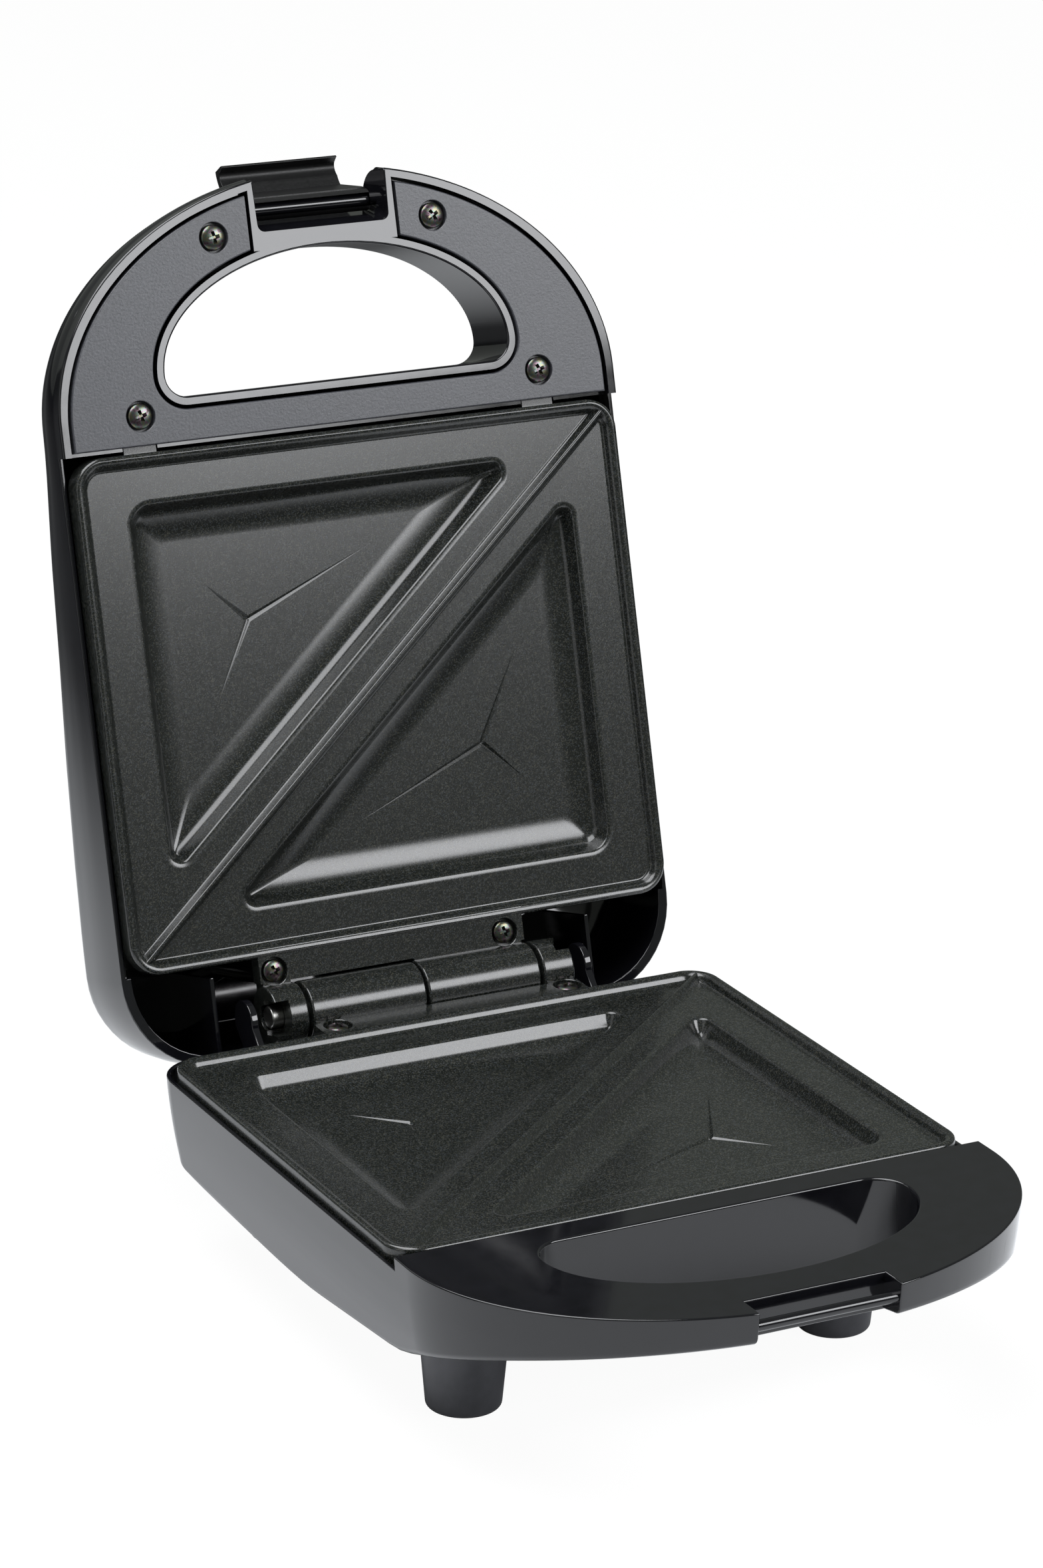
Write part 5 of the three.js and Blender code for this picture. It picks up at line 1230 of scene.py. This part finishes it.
def latchBody():
    # an arm back from the rod, a hollow hook with a lip, and a clip whose mouth faces the front
    arm, armEnd, face, hollow, lip, tip, barb, spine, under = (
        (-latch[key][0], latch[key][1]) for key in
        ("arm", "armEnd", "face", "hollow", "lip", "tip", "barb", "spine", "under"))
    root = latch["root"]
    outline = [(arm[0] + gap, 0), (arm[0], root), armEnd]
    outline += bent(armEnd, (armEnd[0] - root / 2, face[1] - root / 4), face, 5)
    outline += bent(face, hollow, lip)
    outline += bent(lip, (tip[0] + gap, lip[1] - root / 2), tip, 5)
    outline += bent(tip, (tip[0] - 2 * gap, tip[1]), (tip[0] - gap, tip[1] + root / 2), 5)
    outline += [barb]
    outline += bent(barb, (hollow[0], barb[1]), spine)
    outline += bent(spine, (under[0] - gap, spine[1] - root / 2), under)
    outline += [(-latch["arm"][1], root), (-latch["arm"][1], 0)]
    span = onBothSides(latch["half"])
    bore = lid["rodRadius"] + gap / 3
    made = join(sideProfile(outline, span), rod(latch["ring"], "X", span, (0, 0)))
    wide = onBothSides(latch["half"] + overrun)
    cut(made, rod(bore, "X", wide, (0, 0)), block(wide, (-bore, bore), (-latch["ring"] - overrun, -gap)))

    def endEdge(a, b):
        return min(abs(a.x), abs(b.x)) > latch["half"] - hair and a.x * b.x > 0

    return roundEdges(made, latch["round"], endEdge)


dress(latchBody(), "latchHook", latchPlacing, "latch", ["latch"], "satin_black", [latchBlackAndNotchShade])
print("latch made")

gland = {"flange": 6.5, "neck": 4.7, "bore": 3.2, "proud": 2, "inside": 4, "round": 0.8}


def glandBody():
    # a nylon entry bush: a round flange on the back wall, its neck through it and a rounded mouth
    outerEnd = base["rear"] + gland["proud"]
    wallInner = base["rear"] - taperAt(inner["glandDrop"]) - plan["wall"]
    small = gland["round"]
    profile = [(gland["bore"], wallInner - gland["inside"]), (gland["neck"], wallInner - gland["inside"]),
               (gland["neck"], wallInner + gap), (gland["flange"], wallInner + gap),
               (gland["flange"], outerEnd - small)]
    for place, first in ((gland["flange"] - small, 0), (gland["bore"] + small, 90)):
        profile += [(place + run, outerEnd - small + rise) for run, rise in arc(small, first, first + 90, 6)]
    lie = Matrix.Translation((0, 0, -inner["glandDrop"])) @ Matrix.Rotation(-quarter, 4, "X")
    ring = spun(profile + profile[:1], lie, 72)
    wallCut = baseForm(0, 0, overrun)
    wallCut.data.transform(Matrix.Translation((0, gap, 0)))
    keep = rod(gland["neck"] + 0.01, "Y", (-4 * overrun, 4 * overrun), (0, -inner["glandDrop"]), 0, 72)
    return cut(ring, cut(wallCut, keep))


dress(glandBody(), "cordGland", basePlacing, "base", ["cord_gland"], "satin_black")


def lensBody(x):
    # a round lens with a low dome, hollow below and held by a flange under the lid's skin
    radius, wall = lamps["radius"], lamps["wall"]
    y = -lamps["back"]
    top = crownAt(y) + lid["crown"] + lamps["proud"]
    flangeAt = crownAt(y) - plan["wall"] - gap
    low = flangeAt - lamps["flangeHeight"]
    dome = lamps["dome"]
    profile = [(0, top)]
    profile += [(radius * run, top - dome + dome * rise) for run, rise in reversed(arc(1, 0, 80, 8))]
    profile += [(radius, flangeAt), (lamps["flange"], flangeAt), (lamps["flange"], low), (radius, low),
                (radius, top - lamps["depth"]), (radius - wall, top - lamps["depth"]),
                (radius - wall, top - 2 * wall), (0, top - 2 * wall)]
    return spun(profile, Matrix.Translation((x, y, 0)), 48)


for node, x, slotName in (("power_lamp_lens", -lamps["place"], "red_lens"),
                          ("ready_lamp_lens", lamps["place"], "green_lens")):
    dress(lensBody(x), pieceName(node), lidPlacing, "lid", [node], slotName)
print("gland and lamp lenses made")

# Camera at the photograph's place, solved from the two plates
camera = {
    "placeMm": (-453.63, -867.37, 437.93),
    "lookAlong": (0.436992, 0.839317, -0.323397),
    "rightward": (0.888653, -0.458449, 0.010977),
    "lensMm": 119.52,
    "sensorMm": 36,
}
lookAlong = Vector(camera["lookAlong"]).normalized()
rightward = Vector(camera["rightward"]).normalized()
upward = rightward.cross(lookAlong).normalized()
cameraData = bpy.data.cameras.new("camera")
cameraData.lens = camera["lensMm"]
cameraData.sensor_width = camera["sensorMm"]
cameraData.clip_start, cameraData.clip_end = 0.01, 100
cameraObject = bpy.data.objects.new("camera", cameraData)
turning = Matrix((rightward, upward, -lookAlong)).transposed().to_4x4()
cameraObject.matrix_world = Matrix.Translation(Vector(camera["placeMm"]) * mm) @ turning
bpy.context.scene.collection.objects.link(cameraObject)
bpy.context.scene.camera = cameraObject

# White floor and soft studio light. Rays that bounce off the object see a floor whose colour is painted darker
# with distance, a painted fall-off of light round the object, and a dark room, which is what makes gloss black
# read as black
studio = {
    "floorHalf": 30,
    "floorColour": "#D9DADD",
    "floorGlow": 0.95,
    "floorShade": 0.05,
    "brightOut": 0.16,
    "darkOut": 0.5,
    "darkShare": 0.1,
    "roomColour": "#F8FFF6",
    "roomWhite": 1.1,
    "roomFill": 0.35,
    "roomGloss": 0.2,
    "panelColour": "#FBFCFF",
    "panels": {
        # place in metres, size in metres, brightness
        "overhead": ((-0.3, 0.05, 1.15), (1.3, 0.8), 7),
        "front": ((0.69, -0.91, 0.72), (0.76, 0.54), 9.5),
        "left": ((-1.2, -0.4, 0.5), (0.7, 0.9), 0.8),
        "behind": ((-0.9, 1.2, 1.0), (0.8, 0.6), 1),
    },
}
floorMesh = bmesh.new()
bmesh.ops.create_grid(floorMesh, x_segments=1, y_segments=1, size=studio["floorHalf"])
floorData = bpy.data.meshes.new("floor")
floorMesh.to_mesh(floorData)
floorMesh.free()
floor = bpy.data.objects.new("floor", floorData)
bpy.context.scene.collection.objects.link(floor)


def whiteFloor():
    # painted board that glows evenly to the camera, almost shadowless; to other rays its colour fades from white
    # to dark with distance, a painted pool of light
    material, tree, place, surface = startMaterial(
        "white_painted_board", {"Roughness": 0.8, "Specular IOR Level": 0.1})
    away = addNode(tree, "ShaderNodeVectorMath", {"operation": "LENGTH"}, {"Vector": place})
    # painted light: the floor's colour darkens away from the object, standing in for the light's fall-off
    fade = addNode(tree, "ShaderNodeMapRange", {"interpolation_type": "SMOOTHSTEP"}, {
        "Value": away.outputs["Value"], "From Min": studio["brightOut"], "From Max": studio["darkOut"],
        "To Min": 1, "To Max": studio["darkShare"]})
    tone = addNode(tree, "ShaderNodeMix", {"data_type": "RGBA"}, {"Factor": fade.outputs[0]})
    tone.inputs["A"].default_value = (0, 0, 0, 1)
    tone.inputs["B"].default_value = fromHex(studio["floorColour"])
    linkTo(tree, tone.outputs["Result"], surface, "Base Color")
    glow = addNode(tree, "ShaderNodeEmission", None, {"Strength": studio["floorGlow"]})
    lit = addNode(tree, "ShaderNodeBsdfDiffuse")
    both = addNode(tree, "ShaderNodeAddShader", None, {0: glow.outputs[0], 1: lit.outputs[0]})
    lit.inputs["Color"].default_value = (*[studio["floorShade"]] * 3, 1)
    ray = addNode(tree, "ShaderNodeLightPath")
    chosen = addNode(tree, "ShaderNodeMixShader", None, {
        0: ray.outputs["Is Camera Ray"], 1: surface.outputs[0], 2: both.outputs[0]})
    outlet = next(node for node in tree.nodes if node.bl_idname == "ShaderNodeOutputMaterial")
    linkTo(tree, chosen.outputs[0], outlet, "Surface")
    return material


floorData.materials.append(whiteFloor())

world = bpy.data.worlds.new("studio")
world.use_nodes = True
room = world.node_tree
backdrop = room.nodes["Background"]
backdrop.inputs["Color"].default_value = fromHex(studio["roomColour"])
roomRay = addNode(room, "ShaderNodeLightPath")
fill = addNode(room, "ShaderNodeMapRange", None, {
    "Value": roomRay.outputs["Is Diffuse Ray"], "To Min": studio["roomGloss"], "To Max": studio["roomFill"]})
brightness = addNode(room, "ShaderNodeMix", {"data_type": "FLOAT"}, {
    "Factor": roomRay.outputs["Is Camera Ray"], "A": fill.outputs[0], "B": studio["roomWhite"]})
room.links.new(brightness.outputs[0], backdrop.inputs["Strength"])
bpy.context.scene.world = world
bpy.context.scene.view_settings.view_transform = "Standard"

middle = (cadBox[0] + cadBox[1]) / 2
for name, (place, size, brightness) in studio["panels"].items():
    lamp = bpy.data.lights.new(name, "AREA")
    lamp.shape = "RECTANGLE"
    lamp.size, lamp.size_y = size
    lamp.energy = brightness * math.pi * size[0] * size[1]
    lamp.color = fromHex(studio["panelColour"])[:3]
    panel = bpy.data.objects.new(name, lamp)
    panel.location = place
    panel.rotation_euler = (middle - Vector(place)).to_track_quat("-Z", "Y").to_euler()
    panel.visible_camera = False
    bpy.context.scene.collection.objects.link(panel)
print("camera, floor and lights placed")
